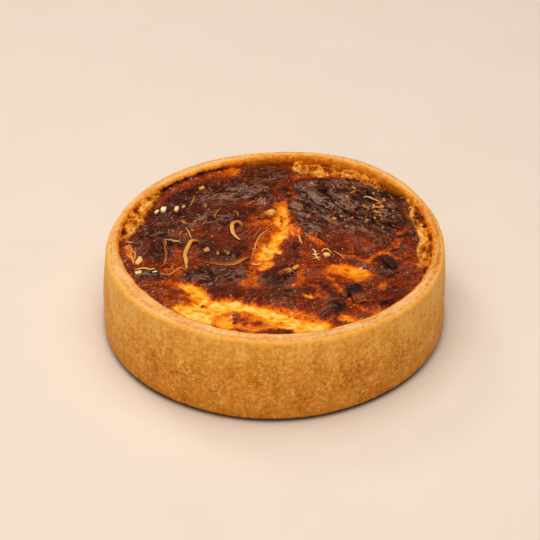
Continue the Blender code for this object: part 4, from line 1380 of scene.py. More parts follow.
    def mesh(self) -> Mesh:
        """The skin on its round grid, a side wall down from its edge, and a flat underside."""
        unit_x, unit_y = self.disc()
        bearing = np.arctan2(unit_y, unit_x)
        reach = np.hypot(unit_x, unit_y)
        edge_radius = self.size.inner_radius + self.wall_reach
        radius = reach * (edge_radius + waves(bearing, self.size.inner) * reach)
        x, y = radius * np.cos(bearing), radius * np.sin(bearing)
        height, values = self.surface(x, y)
        top = centred(x, y, height).reshape(-1, 3)
        side = self.grid + 1
        row, column = np.meshgrid(np.arange(self.grid), np.arange(self.grid), indexing="ij")
        corner = row * side + column
        quads = np.stack([corner, corner + side, corner + side + 1, corner + 1], axis=-1).reshape(-1, 4)
        run = np.arange(self.grid)
        back = np.arange(self.grid, 0, -1)
        edge = np.concatenate([run * side, self.grid * side + run, back * side + self.grid, back])
        low = top[edge].copy()
        low[:, 2] = self.sink
        start = len(top)
        after = np.roll(np.arange(len(edge)), -1)
        here = np.arange(len(edge))
        wall = np.stack([edge, start + here, start + after, edge[after]], axis=-1)
        centre = centred(0.0, 0.0, self.sink)[None]
        under = np.stack([start + after, start + here, np.full(len(edge), start + len(edge))], axis=-1)
        corners = np.concatenate([top, low, centre])
        spread = {
            name: np.concatenate([value.ravel(), value.ravel()[edge], [self.middle_value]])
            for name, value in values.items()
        }
        return Mesh("custard", corners, np.concatenate([quads, wall]), under, spread)

    def level(self, x: Array, y: Array) -> Array:
        """The skin's height at places of the solid's own layout."""
        return self.surface(np.asarray(x, float), np.asarray(y, float))[0]

    def settle(self, seen_x: Array, seen_y: Array) -> tuple[Array, Array]:
        """The places of the solid's own layout that show at places of the layout plane."""
        height = np.full(np.shape(seen_x), self.size.fill_level)
        for _ in range(4):
            x, y = VIEW.carried(seen_x, seen_y, VIEW.layout_height, height)
            height = self.form(x, y)
        return x, y


# ---- the crust


@dataclass(frozen=True)
class ShellGrain:
    """Uneven fields over the shell, each from about -1 to 1.

    broad, patchy and flecks are rounded, from wide to fine. lace is a net of ridges, streaks run
    up the wall, strokes run round it, and ragged is for torn edges.
    """

    broad: Array
    patchy: Array
    flecks: Array
    lace: Array
    streaks: Array
    strokes: Array
    ragged: Array


class Crust:
    """The pastry shell: its section carried round, with relief and tones worked out at each corner."""

    steps: int = 900
    wall_rows: int = 60
    lift_start: float = 20.0
    torn_depth: float = 3.0
    torn_reach: float = 0.6
    dent_reach: float = 0.35
    # bearings in degrees and how far the inner wall darkens below the rim: partly scorching, partly painted
    # shade, darkest at the back left; negative values lighten it as painted light
    scorch_and_shade_table: tuple = (
        (-180, 0.3), (-150, 0.3), (-90, 0.2), (-30, 0.3), (0, 0.2), (24, 0.2), (34, 0.0), (45, -0.12),
        (60, -0.08), (80, 0.1), (90, 0.05), (100, 0.15), (108, 0.4), (118, 0.85), (138, 0.95), (148, 0.6),
        (160, 0.3), (180, 0.3),
    )

    def __init__(self, size: QuicheSize) -> None:
        """Keeps the sizes, the two radii between which the rim is flat, and its length round."""
        self.size = size
        self.flat_inside = size.inner_radius + size.inner_round
        self.flat_outside = size.rim_radius - size.rim_round
        self.girth = 2.0 * math.pi * size.rim_radius

    def section(self) -> tuple[Array, Array, Array]:
        """Radius, height and run length of the section, from under the base up, over and down inside."""
        size = self.size

        def arc(radius: float, height: float, reach: float, start: float, end: float, count: int) -> Array:
            """Points on an arc, in order, with bearings in degrees."""
            bearing = np.radians(np.linspace(start, end, count))
            return np.stack([radius + reach * np.cos(bearing), height + reach * np.sin(bearing)], axis=-1)

        def straight(radius: Array, height: Array, count: int) -> Array:
            """Points on a straight run between two ends, without the ends."""
            part = np.linspace(0.0, 1.0, count + 2)[1:-1]
            return np.stack([np.interp(part, (0, 1), radius), np.interp(part, (0, 1), height)], axis=-1)

        top, inner = size.height, size.inner_radius
        wall_height = np.linspace(size.foot_round, top - size.rim_round, self.wall_rows + 2)[1:-1]
        inside_top, inside_low = top - size.inner_round, size.fill_level - 8.0
        profile = np.concatenate([
            arc(size.base_radius - size.foot_round, size.foot_round, size.foot_round, -90, 0, 5),
            np.stack([size.wall_radius(wall_height), wall_height], axis=-1),
            arc(self.flat_outside, top - size.rim_round, size.rim_round, 0, 90, 9),
            straight((self.flat_outside, self.flat_inside), (top, top), 5),
            arc(self.flat_inside, inside_top, size.inner_round, 90, 180, 8),
            straight((inner, inner), (inside_top, inside_low), 12),
            np.array([(inner, inside_low), (inner, size.floor)]),
        ])
        step = np.hypot(*np.diff(profile, axis=0).T)
        return profile[:, 0], profile[:, 1], np.concatenate([[0.0], np.cumsum(step)])

    def grain(self, along: Array, run: Array) -> ShellGrain:
        """The uneven fields, from how far round and how far up the shell each corner is."""

        def around(wide: float, tall: float, seed: int, layers: int = 2) -> Array:
            """Noise that closes on itself round the shell, with its own pitch along and up it."""
            total, weight = np.zeros(along.shape), 0.0
            for layer in range(layers):
                columns = max(3, round(self.girth * 2**layer / wide))
                pitch = self.girth / columns
                up = run * pitch * 2**layer / tall
                total += 0.6**layer * noise(along, up, pitch, seed + layer, columns)
                weight += 0.6**layer
            return total / weight

        return ShellGrain(
            broad=around(17.0, 14.0, 101),
            patchy=around(6.0, 4.6, 103, 3),
            flecks=around(2.3, 1.9, 107),
            lace=1.0 - 3.0 * np.abs(around(4.4, 3.4, 109)),
            streaks=around(3.4, 26.0, 119),
            strokes=around(26.0, 1.6, 111),
            ragged=around(3.6, 3.6, 117),
        )

    def values(
        self, turned: Array, height: Array, outer_share: Array, zones: tuple, grain: ShellGrain
    ) -> dict:
        """The bake of the shell, with painted light and shade in its tone.

        Args:
            turned: Each corner's bearing in radians.
            height: Its height.
            outer_share: 1 outside, 0 inside and between on the flat rim.
            zones: 1 on the wall, on the rim and inside, each an array.
            grain: The uneven fields.

        Returns:
            The tone, rim, inside, glow and low values.
        """
        size, (wall, rim, inside) = self.size, zones
        below = size.height - height
        # painted light and shade: the wall lighter near its top, and much darker at its foot
        painted_top_light_and_foot_shade = 0.30 * (1.0 - ramp(below, 3.0, 28.0)) - 0.9 * (1.0 - ramp(height, 0.3, 1.9))
        # painted light: the wall paler towards its left and right
        sides_light = 0.20 * ramp(np.abs(np.cos(turned)), 0.55, 0.95)
        uneven = 0.22 * grain.broad + 0.17 * grain.patchy + 0.14 * grain.flecks + 0.05 * grain.lace
        tone = 0.49 + wall * (uneven - 0.18 * grain.streaks + painted_top_light_and_foot_shade + sides_light)
        inner_half = 1.0 - ramp(outer_share, 0.2, 0.8)
        # painted shade: the rim darker at its right end
        shaded_right_end = ramp(np.cos(turned), 0.86, 1.0)
        tone += rim * (0.42 * grain.strokes + 0.16 * grain.broad + 0.10 * grain.flecks)
        tone += rim * (0.10 * inner_half - 0.30 * shaded_right_end - 0.04)
        # painted shade where the inner wall meets the custard
        join_shade = 1.0 - ramp(height, size.fill_level - 1.0, size.fill_level + 2.4)
        degrees = (np.degrees(turned) + 180.0) % 360.0 - 180.0
        # the inner wall darker below the rim by bearing: partly scorching, partly painted shade
        scorch_and_shade = np.interp(degrees, *zip(*self.scorch_and_shade_table)) * ramp(below - 0.5 * grain.ragged, 0.6, 3.2)
        tone += inside * (0.22 + 0.14 * grain.patchy + 0.08 * grain.flecks + 0.16 * grain.streaks)
        tone -= inside * (0.30 * join_shade + 0.9 * scorch_and_shade)
        glow = wall * np.exp(-(((below - 0.3) / 0.9) ** 2)) * (1.0 + 0.5 * grain.strokes)
        glow += 0.3 * wall * (1.0 - glow) * (1.0 - ramp(below, 1.0, 9.0))
        low = wall * (1.0 - ramp(height, 0.0, 22.0))
        return {"tone": tone, "rim": rim, "inside": inside, "glow": glow, "low": low}

    def mesh(self) -> Mesh:
        """The closed shell.

        The outline, the leaning rim and the dents push the wall out. The inner wall has its
        own outline and a torn upper edge. Across the flat rim the two blend evenly.

        Returns:
            The mesh, with its values.
        """
        size = self.size
        section_radius, section_height, section_run = self.section()
        radius, turned = np.meshgrid(section_radius, once_round(self.steps), indexing="ij")
        height = np.repeat(section_height[:, None], self.steps, axis=1)
        along = size.rim_radius * turned
        grain = self.grain(along, np.repeat(section_run[:, None], self.steps, axis=1))
        outer_share = np.clip((radius - self.flat_inside) / (self.flat_outside - self.flat_inside), 0.0, 1.0)
        crown = ramp(height, size.height - 0.4, size.height - 0.02)
        wall = (outer_share > 0.99) * (1.0 - crown)
        inside = (outer_share < 0.01) * (1.0 - crown)
        rim = 1.0 - wall - inside
        above = ramp(height, self.lift_start, size.height)
        standing = ramp(height, size.foot_round * 0.5, size.foot_round * 1.5)
        dents = self.dent_reach * noise(along, height, self.girth / 32, 51, 32)
        torn = self.torn_reach * noise(along, height * 0.0, self.girth / 64, 52, 64)
        inside_top = size.height - size.inner_round
        at_edge = ramp(height, inside_top - self.torn_depth, inside_top)
        outline = waves(turned, size.outline) + waves(turned, size.lean) * above
        outline += standing * (dents + 0.12 * grain.patchy + 0.12 * grain.flecks + 0.06 * grain.lace)
        inline = waves(turned, size.inner) - at_edge * (torn + 0.55 * grain.ragged)
        inline -= inside * (0.35 * np.abs(grain.patchy) + 0.15 * grain.flecks)
        radius = radius + outer_share * outline + (1.0 - outer_share) * inline
        lift = rim * (0.16 * grain.strokes + 0.12 * grain.broad + 0.08 * grain.flecks)
        top = height + waves(turned, size.rim) * above + lift
        values = self.values(turned, height, outer_share, (wall, rim, inside), grain)
        rings = centred(radius * np.cos(turned), radius * np.sin(turned), top)
        return tubes("pastry_crust", rings[None], {name: value[None] for name, value in values.items()})


# ---- toppings


@dataclass(frozen=True)
class Strip:
    """An onion strip: its path on the custard, width, thickness, how far it stands up, and its tone.

    fade is how much darker its last end is than its first.
    """

    path: tuple
    width: float
    thickness: float
    arch: float
    tone: float = 0.6
    fade: float = 0.0


# Threads and shreds that lie on the skin, with their paths on the layout plane.
THREADS = (
    Strip(((-49, 55), (-50, 47), (-52, 42)), 0.8, 0.5, 0.2, 0.4),
    Strip(((-32, 41), (-35, 36), (-36, 30)), 1, 0.6, 0.1, 0.32),
    Strip(((-25.5, 37), (-23, 36.5), (-22, 34), (-22, 31)), 0.9, 0.6, 0.2, 0.38),
    Strip(((-53, 20), (-51, 15), (-50, 11), (-49, 8)), 0.8, 0.6, 0.6, 0.62),
    Strip(((-65, 8), (-64, 4), (-64, 0)), 0.8, 0.5, 0.1, 0.45),
    Strip(((-66, 8), (-62, 7.4), (-58, 6), (-55, 4)), 0.7, 0.5, 0.2, 0.66),
    Strip(((-62, 9), (-59, 5), (-56, 6.5)), 0.6, 0.5, 0.2, 0.6),
    Strip(((-20, 26), (-19.4, 22), (-20, 18)), 0.9, 0.6, 0.2, 0.45),
    Strip(((-56.5, 27), (-55, 26.4), (-53, 23.6)), 1.9, 1.2, 0.2, 0.4),
    Strip(((-81, -23), (-76, -21.6), (-72, -22.8), (-68.6, -21.6)), 1.3, 0.8, 0.4, 0.66),
    Strip(((-80, -25.4), (-76.4, -23.4)), 1, 0.8, 0.2, 0.95),
    Strip(((-70.4, -25), (-67.4, -24.6)), 1.1, 0.8, 0.1, 0.95),
    Strip(((-66, -25), (-61, -28), (-57.4, -24), (-54, -21.4), (-50, -24)), 0.9, 0.5, 0.2, 0.5),
    Strip(((-58, -24.4), (-59.4, -20), (-57, -17)), 0.7, 0.5, 0.2, 0.48),
    Strip(((-77.6, -10.6), (-78.6, -13), (-80.4, -16.6)), 1.9, 1.3, 0.4, 0.86),
    Strip(((-85.4, 2), (-83.6, -3), (-84, -8)), 0.7, 0.5, 0.3, 0.66),
    Strip(((-87, -3), (-83, -5), (-81, -9), (-82, -14)), 0.8, 0.6, 0.5, 0.6),
    Strip(((-86.5, -9), (-83, -12), (-81.6, -17)), 0.7, 0.5, 0.4, 0.72),
    Strip(((-88, 8), (-85, 4), (-83, 5)), 0.8, 0.6, 0.4, 0.7),
    Strip(((-2.4, 20), (-5.6, 15.4), (-8.4, 11), (-11, 3), (-11.6, -5)), 1.1, 0.6, 0.3, 0.55),
    Strip(((-5, 24), (-9, 17), (-13, 8)), 0.7, 0.5, 0.2, 0.36),
    Strip(((-14, -14), (-12.6, -7), (-13.4, 0)), 0.8, 0.5, 0.3, 0.42),
    Strip(((13.4, 13), (14.6, 10), (15.2, 6), (16.2, 2)), 1.3, 0.9, 0.5, 0.6),
    Strip(((12.6, 12), (11, 7), (9.4, 2)), 0.8, 0.6, 0.5, 0.25),
    Strip(((15, 9), (18, 2), (18.6, -5)), 0.8, 0.6, 0.4, 0.18),
    Strip(((22, -2), (23.6, -4.6), (23.8, -8), (24.8, -11), (26.2, -13.6)), 1, 0.7, 0.6, 0.82),
    Strip(((21.6, -7), (23.8, -8), (26, -6.4)), 0.8, 0.6, 0.5, 0.78),
    Strip(((22.6, -11.4), (24.8, -11), (27, -9.6)), 0.8, 0.6, 0.4, 0.72),
    Strip(((27.6, -5.4), (28.6, -3), (31, -2.6), (33.4, -6)), 0.9, 0.6, 0.5, 0.66),
    Strip(((34, -4), (38, -7), (41, -12)), 0.8, 0.5, 0.3, 0.5),
    Strip(((35, 33), (36.4, 35.4), (38, 38)), 0.8, 0.5, 0.1, 0.3),
    Strip(((54.4, 52), (56.6, 53.2), (59.6, 51.8), (62.6, 49.2), (66, 46.6)), 1.2, 0.7, 0.2, 0.62, 0.1),
    Strip(((54, 45), (55.2, 42.4), (58, 39.6)), 2, 0.9, 0.1, 0.36),
    Strip(((59, 40), (61.4, 41.4), (64.4, 40)), 1.3, 0.8, 0.3, 0.52),
    Strip(((59, 37), (61.6, 36.2), (64.6, 35)), 1, 0.7, 0.2, 0.56, -0.2),
    Strip(((47.6, 65.2), (49, 63.4), (50.6, 62)), 1.1, 0.7, 0.2, 0.52),
    Strip(((46.6, 57), (48.6, 58.6), (50.6, 60.2)), 1.3, 0.8, 0.1, 0.38),
    Strip(((-11.6, 48.6), (-9.4, 49.8), (-7.4, 53)), 0.8, 0.5, 0.1, 0.42),
    Strip(((-17, 43.4), (-15.4, 45.4), (-12, 47.6)), 0.9, 0.6, 0.1, 0.4),
    Strip(((-42.4, 46), (-42, 43), (-41, 42.4)), 0.8, 0.5, 0.1, 0.56),
    Strip(((-13.6, -17), (-10.6, -18.4), (-7.4, -16.4)), 1.2, 0.8, 0.3, 0.78),
)


def rounded_block(rows: int, sides: int, upright: float, level: float) -> Array:
    """A sphere's grid pushed out towards a box (a superellipsoid), with a half size of 1.

    Args:
        rows: Rings between its poles.
        sides: Corners a ring.
        upright: 1 for a round section from pole to pole, and less for a squarer one.
        level: The same for its rings.

    Returns:
        Shape (3, rows, sides), for x, y and z.
    """
    latitude = np.linspace(-0.5, 0.5, rows + 2)[1:-1] * math.pi
    up, turned = np.meshgrid(latitude, once_round(sides), indexing="ij")

    def boxy(value: Array, power: float) -> Array:
        """A power that keeps the sign."""
        return np.sign(value) * np.abs(value) ** power

    reach = boxy(np.cos(up), upright)
    x, y = reach * boxy(np.cos(turned), level), reach * boxy(np.sin(turned), level)
    return np.stack([x, y, boxy(np.sin(up), upright)])


class Topping:
    """What lies on the custard or sits in it."""

    def __init__(self, custard: Custard) -> None:
        """Keeps the custard."""
        self.custard = custard


class Onion(Topping):
    """Onion strips and threads as tubes of oval section carried along paths over the custard."""

    rows: int = 64
    sides: int = 16
    thread_rows: int = 20
    thread_sides: int = 8
    strips: dict = {
        "onion_hook": Strip(
            ((-19.5, 16.5), (-20.5, 20.5), (-23, 21.5), (-25, 17.5), (-25, 12), (-23.5, 7), (-20.5, 3.5)),
            2.4, 1.5, 1.0, 0.46, -0.34,
        ),
        "onion_strip": Strip(
            ((-44, 1), (-47, 1.5), (-49.5, -0.5), (-51, -6), (-51.8, -12), (-51, -19), (-50.5, -25)),
            2.8, 1.2, 0.4, 0.48, -0.12,
        ),
        "onion_leaf": Strip(
            ((-41.5, -17), (-36, -19), (-30, -20.2), (-24.5, -19), (-19, -15.5), (-15, -12.2)),
            3.2, 1.0, 0.0, 0.22, -0.22,
        ),
        "onion_thread": Strip(
            ((-65.5, 2.8), (-64, -4.2), (-62.7, -12), (-63.2, -19.8), (-65.2, -24.8)),
            1.6, 1.0, 0.0, 0.20, -0.10,
        ),
    }

    def rings(self, strip: Strip, rows: int, sides: int, lift: float) -> tuple[Array, Array]:
        """Rings round a strip's path and their tones.

        The section is an oval that narrows to both ends, with a shallow trough along its top.
        The path follows the custard's height, smoothed along the strip, and bows up by its arch.

        Args:
            strip: The strip.
            rows: Rings along it.
            sides: Corners a ring.
            lift: How far its middle lies over the custard.

        Returns:
            Rings of shape (rows, sides, 3) and tones of shape (rows, sides).
        """
        path = smooth_path(strip.path, rows)
        run = np.gradient(path, axis=0)
        run /= np.linalg.norm(run, axis=1)[:, None]
        part = np.linspace(0.0, 1.0, rows)
        key = np.full(rows, 3.0 * strip.path[0][0] + strip.path[0][1])
        bulge = np.sin(math.pi * part)
        swell = 0.30 + 0.70 * bulge**0.5
        swell = swell * (1.0 + 0.16 * noise(key, 60 * part, 9.0, 7) + 0.08 * noise(key, 60 * part, 3.5, 8))
        level = self.custard.level(path[:, 0], path[:, 1])
        level = np.convolve(np.pad(level, 3, mode="edge"), np.ones(7) / 7.0, mode="valid")
        level += lift + strip.arch * bulge
        turn = once_round(sides)
        flat = np.abs(np.cos(turn))
        sway = 0.10 * strip.width * noise(key, 60 * part, 7.0, 9)
        across = np.cos(turn)[None, :] * (strip.width / 2 * swell)[:, None] + sway[:, None]
        up = np.sin(turn)[None, :] * (strip.thickness / 2 * swell)[:, None]
        up = up + 0.20 * strip.thickness * (flat**2)[None, :] * swell[:, None]
        x, y = path[:, :1] - run[:, 1:] * across, path[:, 1:] + run[:, :1] * across
        fibre = noise(np.cos(turn)[None, :] * 6.0 + key[:, None], 30 * part[:, None] + 0.0 * across, 1.6, 5)
        from_middle = part[:, None] - 0.5
        tone = strip.tone - strip.fade * from_middle - 0.20 * (np.abs(from_middle) * 2) ** 4 + 0.05 * fibre
        tone = tone + 0.05 * strip.width * (flat**4 - 0.5)[None, :]
        # painted highlight: the tone is lighter along one upper edge of the section
        tone = tone + 0.14 * np.cos(turn - 2.4)[None, :] + 0.06 * noise(key, 60 * part, 8.0, 10)[:, None]
        return centred(x, y, level[:, None] + up), tone

    def build(self, finish: Material) -> None:
        """Builds the large strips, each in its solid part's place."""
        for name, strip in self.strips.items():
            rings, tone = self.rings(strip, self.rows, self.sides, strip.thickness / 2 + 0.1)
            mesh = tubes(name + "_flesh", rings[None], {"tone": tone[None]})
            mesh.build(finish, Slot.ONION, (name,))

    def build_threads(self, finish: Material) -> None:
        """Builds the thin threads and shreds as one piece."""
        made = []
        for strip in THREADS:
            x, y = self.custard.settle(*np.array(strip.path, float).T)
            laid = replace(strip, path=tuple(zip(x, y)), tone=strip.tone - 0.08)
            made.append(self.rings(laid, self.thread_rows, self.thread_sides, strip.thickness * 0.25))
        rings, tones = (np.stack(parts) for parts in zip(*made))
        tubes("onion_threads", rings, {"tone": tones}).build(finish, Slot.ONION)


@dataclass(frozen=True)
class Chunk:
    """A bacon piece: its place, how deep it sits, its size, its turn and tilt, a seed and its tones.

    tone is its middle tone, and fade is how much lighter one end is than the other.
    """

    x: float
    y: float
    sink: float
    length: float
    width: float
    height: float
    turn: float
    tilt: float
    seed: int
    tone: float
    fade: float


class Bacon(Topping):
    """Bacon pieces as rounded, uneven blocks."""

    rows: int = 48
    sides: int = 72
    chunks: dict = {
        "bacon_charred": Chunk(46.0, -50.0, 2.6, 13.5, 8.5, 7.0, -68, 14, 4, 0.30, 0.60),
        "bacon_dark": Chunk(66.0, -20.0, 1.6, 11.0, 5.0, 4.6, -58, 6, 6, 0.20, -0.10),
        "bacon_golden": Chunk(6.0, -26.5, 1.4, 9.0, 4.2, 4.0, 38, 4, 9, 0.66, 0.24),
        "bacon_pale": Chunk(-4.5, 31.5, 1.3, 12.0, 4.4, 3.6, 38, -3, 12, 0.76, 0.36),
    }

    def mesh(self, name: str, chunk: Chunk) -> Mesh:
        """A rounded block, roughened, tilted and turned, with streaks of tone along it."""
        x, y, z = rounded_block(self.rows, self.sides, 0.45, 0.5)
        along, side = x, y + 0.8 * z
        rough = 1.0 + 0.10 * noise(3 * x + 9 * z, 3 * y - 4 * z, 1.6, chunk.seed)
        rough += 0.05 * noise(6 * x - 5 * z, 6 * y + 7 * z, 1.2, chunk.seed + 1)
        rough += 0.04 * noise(9 * x + 7 * z, 16 * y - 9 * z, 1.0, chunk.seed + 2)
        sizes = (chunk.length, chunk.width, chunk.height)
        x, y, z = (part * rough * size / 2 for part, size in zip((x, y, z), sizes))
        x, z = along_across(x, z, math.radians(chunk.tilt))
        x, y = along_across(x, y, -math.radians(chunk.turn))
        top = float(self.custard.form(np.array(chunk.x), np.array(chunk.y)))
        band = noise(2.0 * along + 5.0, 5.0 * side, 1.4, chunk.seed + 3)
        end = ramp(along, -0.5, 0.5) - 0.5
        tone = chunk.tone + chunk.fade * end + 0.16 * band + 0.14 * noise(x, y + z, 1.8, chunk.seed + 4)
        rings = centred(x + chunk.x, y + chunk.y, z + top - chunk.sink + chunk.height / 2)
        return tubes(name + "_flesh", rings[None], {"tone": tone[None]})

    def build(self, finish: Material) -> None:
        """Builds the pieces, each in its solid part's place."""
        for name, chunk in self.chunks.items():
            self.mesh(name, chunk).build(finish, Slot.BACON, (name,))


@dataclass(frozen=True)
class Bit:
    """A small onion dice: its place, its three sizes, its turn in degrees and its tone."""

    x: float
    y: float
    length: float
    width: float
    height: float
    turn: float
    tone: float


class Scatter(Topping):
    """Small things in number: onion dice, onion flecks and beads of fat."""

    rows: int = 6
    sides: int = 12
    dice: tuple = (
        Bit(-71, 34, 3.2, 2, 2, 70, 0.86), Bit(-67, 34.5, 4.2, 3, 2.6, 80, 0.96),
        Bit(-59, 34, 4.6, 2.4, 2.4, 80, 0.84), Bit(-55, 38, 2.6, 1.6, 1.6, 60, 0.62),
        Bit(-44.5, 55, 3.8, 2.6, 2, 40, 0.55), Bit(-54, 21.5, 5.4, 2.2, 1.8, -50, 0.3),
        Bit(-39.5, -6.5, 3.6, 2.8, 2.2, 30, 0.5), Bit(-33, -10, 3.4, 1.6, 1.6, 85, 0.4),
        Bit(-27, -9.5, 2.6, 1.8, 1.6, 60, 0.4), Bit(-78, -18, 5.6, 2.2, 2, 65, 0.74),
        Bit(-78, -29, 3.8, 3, 2, 20, 0.8), Bit(-13.5, 43.5, 4, 1.8, 1.5, 30, 0.3),
        Bit(9, 57, 3, 2, 1.8, 60, 0.2), Bit(35.5, 22.5, 2.8, 2.2, 1.8, 0, 0.42),
        Bit(40, 25.5, 2.2, 1.8, 1.6, 0, 0.42), Bit(55, 21, 2.6, 1.8, 1.6, 45, 0.4),
        Bit(30, -11.5, 3.6, 3, 2.4, 20, 0.74), Bit(12, -22.5, 4.8, 2.4, 2.4, 50, 0.5),
        Bit(39, -50, 3.6, 2.4, 1.8, -40, 0.12),
    )
    fleck_count: int = 9
    fleck_centre: tuple = (55.0, 37.0)
    fleck_reach: tuple = (15.0, 16.0)
    shown_flecks: tuple = (
        (52, 61, 1.1), (49, 57, 1.3), (49, 63, 0.9), (51, 68, 0.9), (61, 57, 0.9), (67, 51, 0.8),
        (60.5, 44, 1.2), (61, 33, 1), (55, 31, 0.9), (55.5, 28, 1.2), (67, 33, 0.8), (64.5, 29, 0.9),
        (62, 24, 0.8), (58, 14, 1.2), (36, 29.5, 1.3), (40.5, 32, 1.1), (31.5, 43, 0.9), (34.5, 40.5, 0.8),
        (28.5, 50, 0.8), (-42, 44, 1.1), (-33, 51, 0.8), (-47.5, 27, 1.1), (-42.5, 24, 1.2), (-11.5, 22, 1),
        (-49, 17, 1), (-63, 17, 0.9), (-60.5, 16.5, 0.9), (-56, 14, 0.8), (-53, 9, 0.8), (-37, 12, 0.8),
        (44, 69, 0.7), (56, 65, 0.7), (39, 46, 0.7), (46, 50, 0.7), (64, 60, 0.8), (70, 44, 0.8),
        (72, 38, 0.7), (58, 36, 0.8), (50, 36, 0.7), (47, 42, 0.7),
    )
    bead_count: int = 2400
    bead_reach: float = 84.0

    def blocks(
        self, name: str, x: Array, y: Array, sizes: Array, turn: Array, sink: float, power: float
    ) -> Mesh:
        """Rounded blocks on the custard, each a sphere's grid pushed out towards a box and roughened.

        Args:
            name: The piece's name.
            x: Places to the right.
            y: Places to the back.
            sizes: Rows of length, width and height.
            turn: Turns about the upright axis.
            sink: The share of its height that each block is sunk by.
            power: 1 for a ball and less for a box.

        Returns:
            One mesh, with a tone for each block still to be set.
        """
        unit = rounded_block(self.rows, self.sides, power, power)
        key = np.arange(len(x))[:, None, None] * 3.7
        rough = 1.0 + 0.26 * noise(1.7 * unit[0] + key, 1.7 * unit[1] + 2.3 * unit[2], 1.0, 211)
        along, side, rise = (unit[k][None] * sizes[:, k, None, None] / 2 * rough for k in range(3))
        level = self.custard.level(x, y) + sizes[:, 2] * (0.5 - sink)
        right, back = along_across(along, side, -turn[:, None, None])
        rings = centred(*(a + b[:, None, None] for a, b in ((right, x), (back, y), (rise, level))))
        return tubes(name, rings, {"tone": np.zeros(rings.shape[:3])})

    def toned(self, mesh: Mesh, tones: Array) -> Mesh:
        """The same mesh with one tone for each of its blocks, and a little fibre."""
        own = len(mesh.corners) // len(tones)
        fibre = noise(mesh.corners[:, 0], mesh.corners[:, 1], 0.8, 213)
        mesh.values = {"tone": np.repeat(tones, own) + 0.06 * fibre}
        return mesh

    def build_dice(self, finish: Material) -> None:
        """Builds the onion dice, which the solid part holds fused to the custard."""
        x, y, length, width, height, turn, tones = np.array([astuple(bit) for bit in self.dice]).T
        sizes = np.stack([length, width, height], axis=-1) * 1.02
        mesh = self.toned(self.blocks("onion_dice", x, y, sizes, np.radians(turn), 0.34, 0.40), tones)
        low = np.repeat(self.custard.level(x, y), len(mesh.corners) // len(x))
        mesh.values["tone"] -= 0.25 * (1.0 - ramp(mesh.corners[:, 2] - low, 0.1, 1.2))
        mesh.build(finish, Slot.ONION)

    def build_flecks(self, finish: Material) -> None:
        """Builds small baked flecks: those that the solid part holds, then those of the layout."""
        draw = np.random.default_rng(5)
        rows = []
        for _ in range(self.fleck_count):
            spread, bearing = math.sqrt(draw.uniform()), draw.uniform(0.0, 2.0 * math.pi)
            size = draw.uniform(1.8, 2.8)
            x = self.fleck_centre[0] + self.fleck_reach[0] * spread * math.cos(bearing)
            y = self.fleck_centre[1] + self.fleck_reach[1] * spread * math.sin(bearing)
            rows.append((x, y, size, size * 0.7, size * 0.6, bearing))
        seen_x, seen_y, size = np.array(self.shown_flecks, float).T
        x, y = self.custard.settle(seen_x, seen_y)
        size = size * 1.3
        own = np.stack([x, y, size * 1.7, size * 0.75, size * 0.55, 7.0 * size], axis=-1)
        rows = np.concatenate([rows, own])
        mesh = self.blocks("onion_flecks", rows[:, 0], rows[:, 1], rows[:, 2:5], rows[:, 5], 0.3, 0.7)
        tones = 0.40 + 0.20 * np.random.default_rng(6).uniform(-1.0, 1.0, len(rows))
        self.toned(mesh, tones).build(finish, Slot.ONION)

    def build_beads(self, finish: Material) -> None:
        """Builds beads of fat on the skin, away from the pale cracks and the ledges."""
        draw = np.random.default_rng(31)
        reach = self.bead_reach * np.sqrt(draw.uniform(size=self.bead_count))
        bearing = draw.uniform(0.0, 2.0 * math.pi, self.bead_count)
        x, y = reach * np.cos(bearing), reach * np.sin(bearing)
        values = self.custard.surface(x, y)[1]
        chance = draw.uniform(size=self.bead_count)
        kept = (values["bake"] > 0.42) & (values["ledge"] < 0.1) & (chance < 0.85 - 0.5 * values["dry"])
        x, y = x[kept], y[kept]
        size = 0.40 + 0.75 * draw.uniform(size=len(x)) ** 3
        sizes = np.stack([size * 1.15, size, size * 0.7], axis=-1)
        mesh = self.blocks("fat_beads", x, y, sizes, bearing[kept], 0.35, 1.0)
        self.toned(mesh, draw.uniform(0.0, 1.0, len(x)) ** 1.6).build(finish, Slot.CUSTARD)


# ---- stage


@dataclass(frozen=True)
class Lamp:
    """A square area light: its place, aim and side in metres, its power, and whether it shows in gleams."""

    name: str
    place: tuple
    aim: tuple
    side: float
    power: float
    colour: tuple
    gleams: bool = True


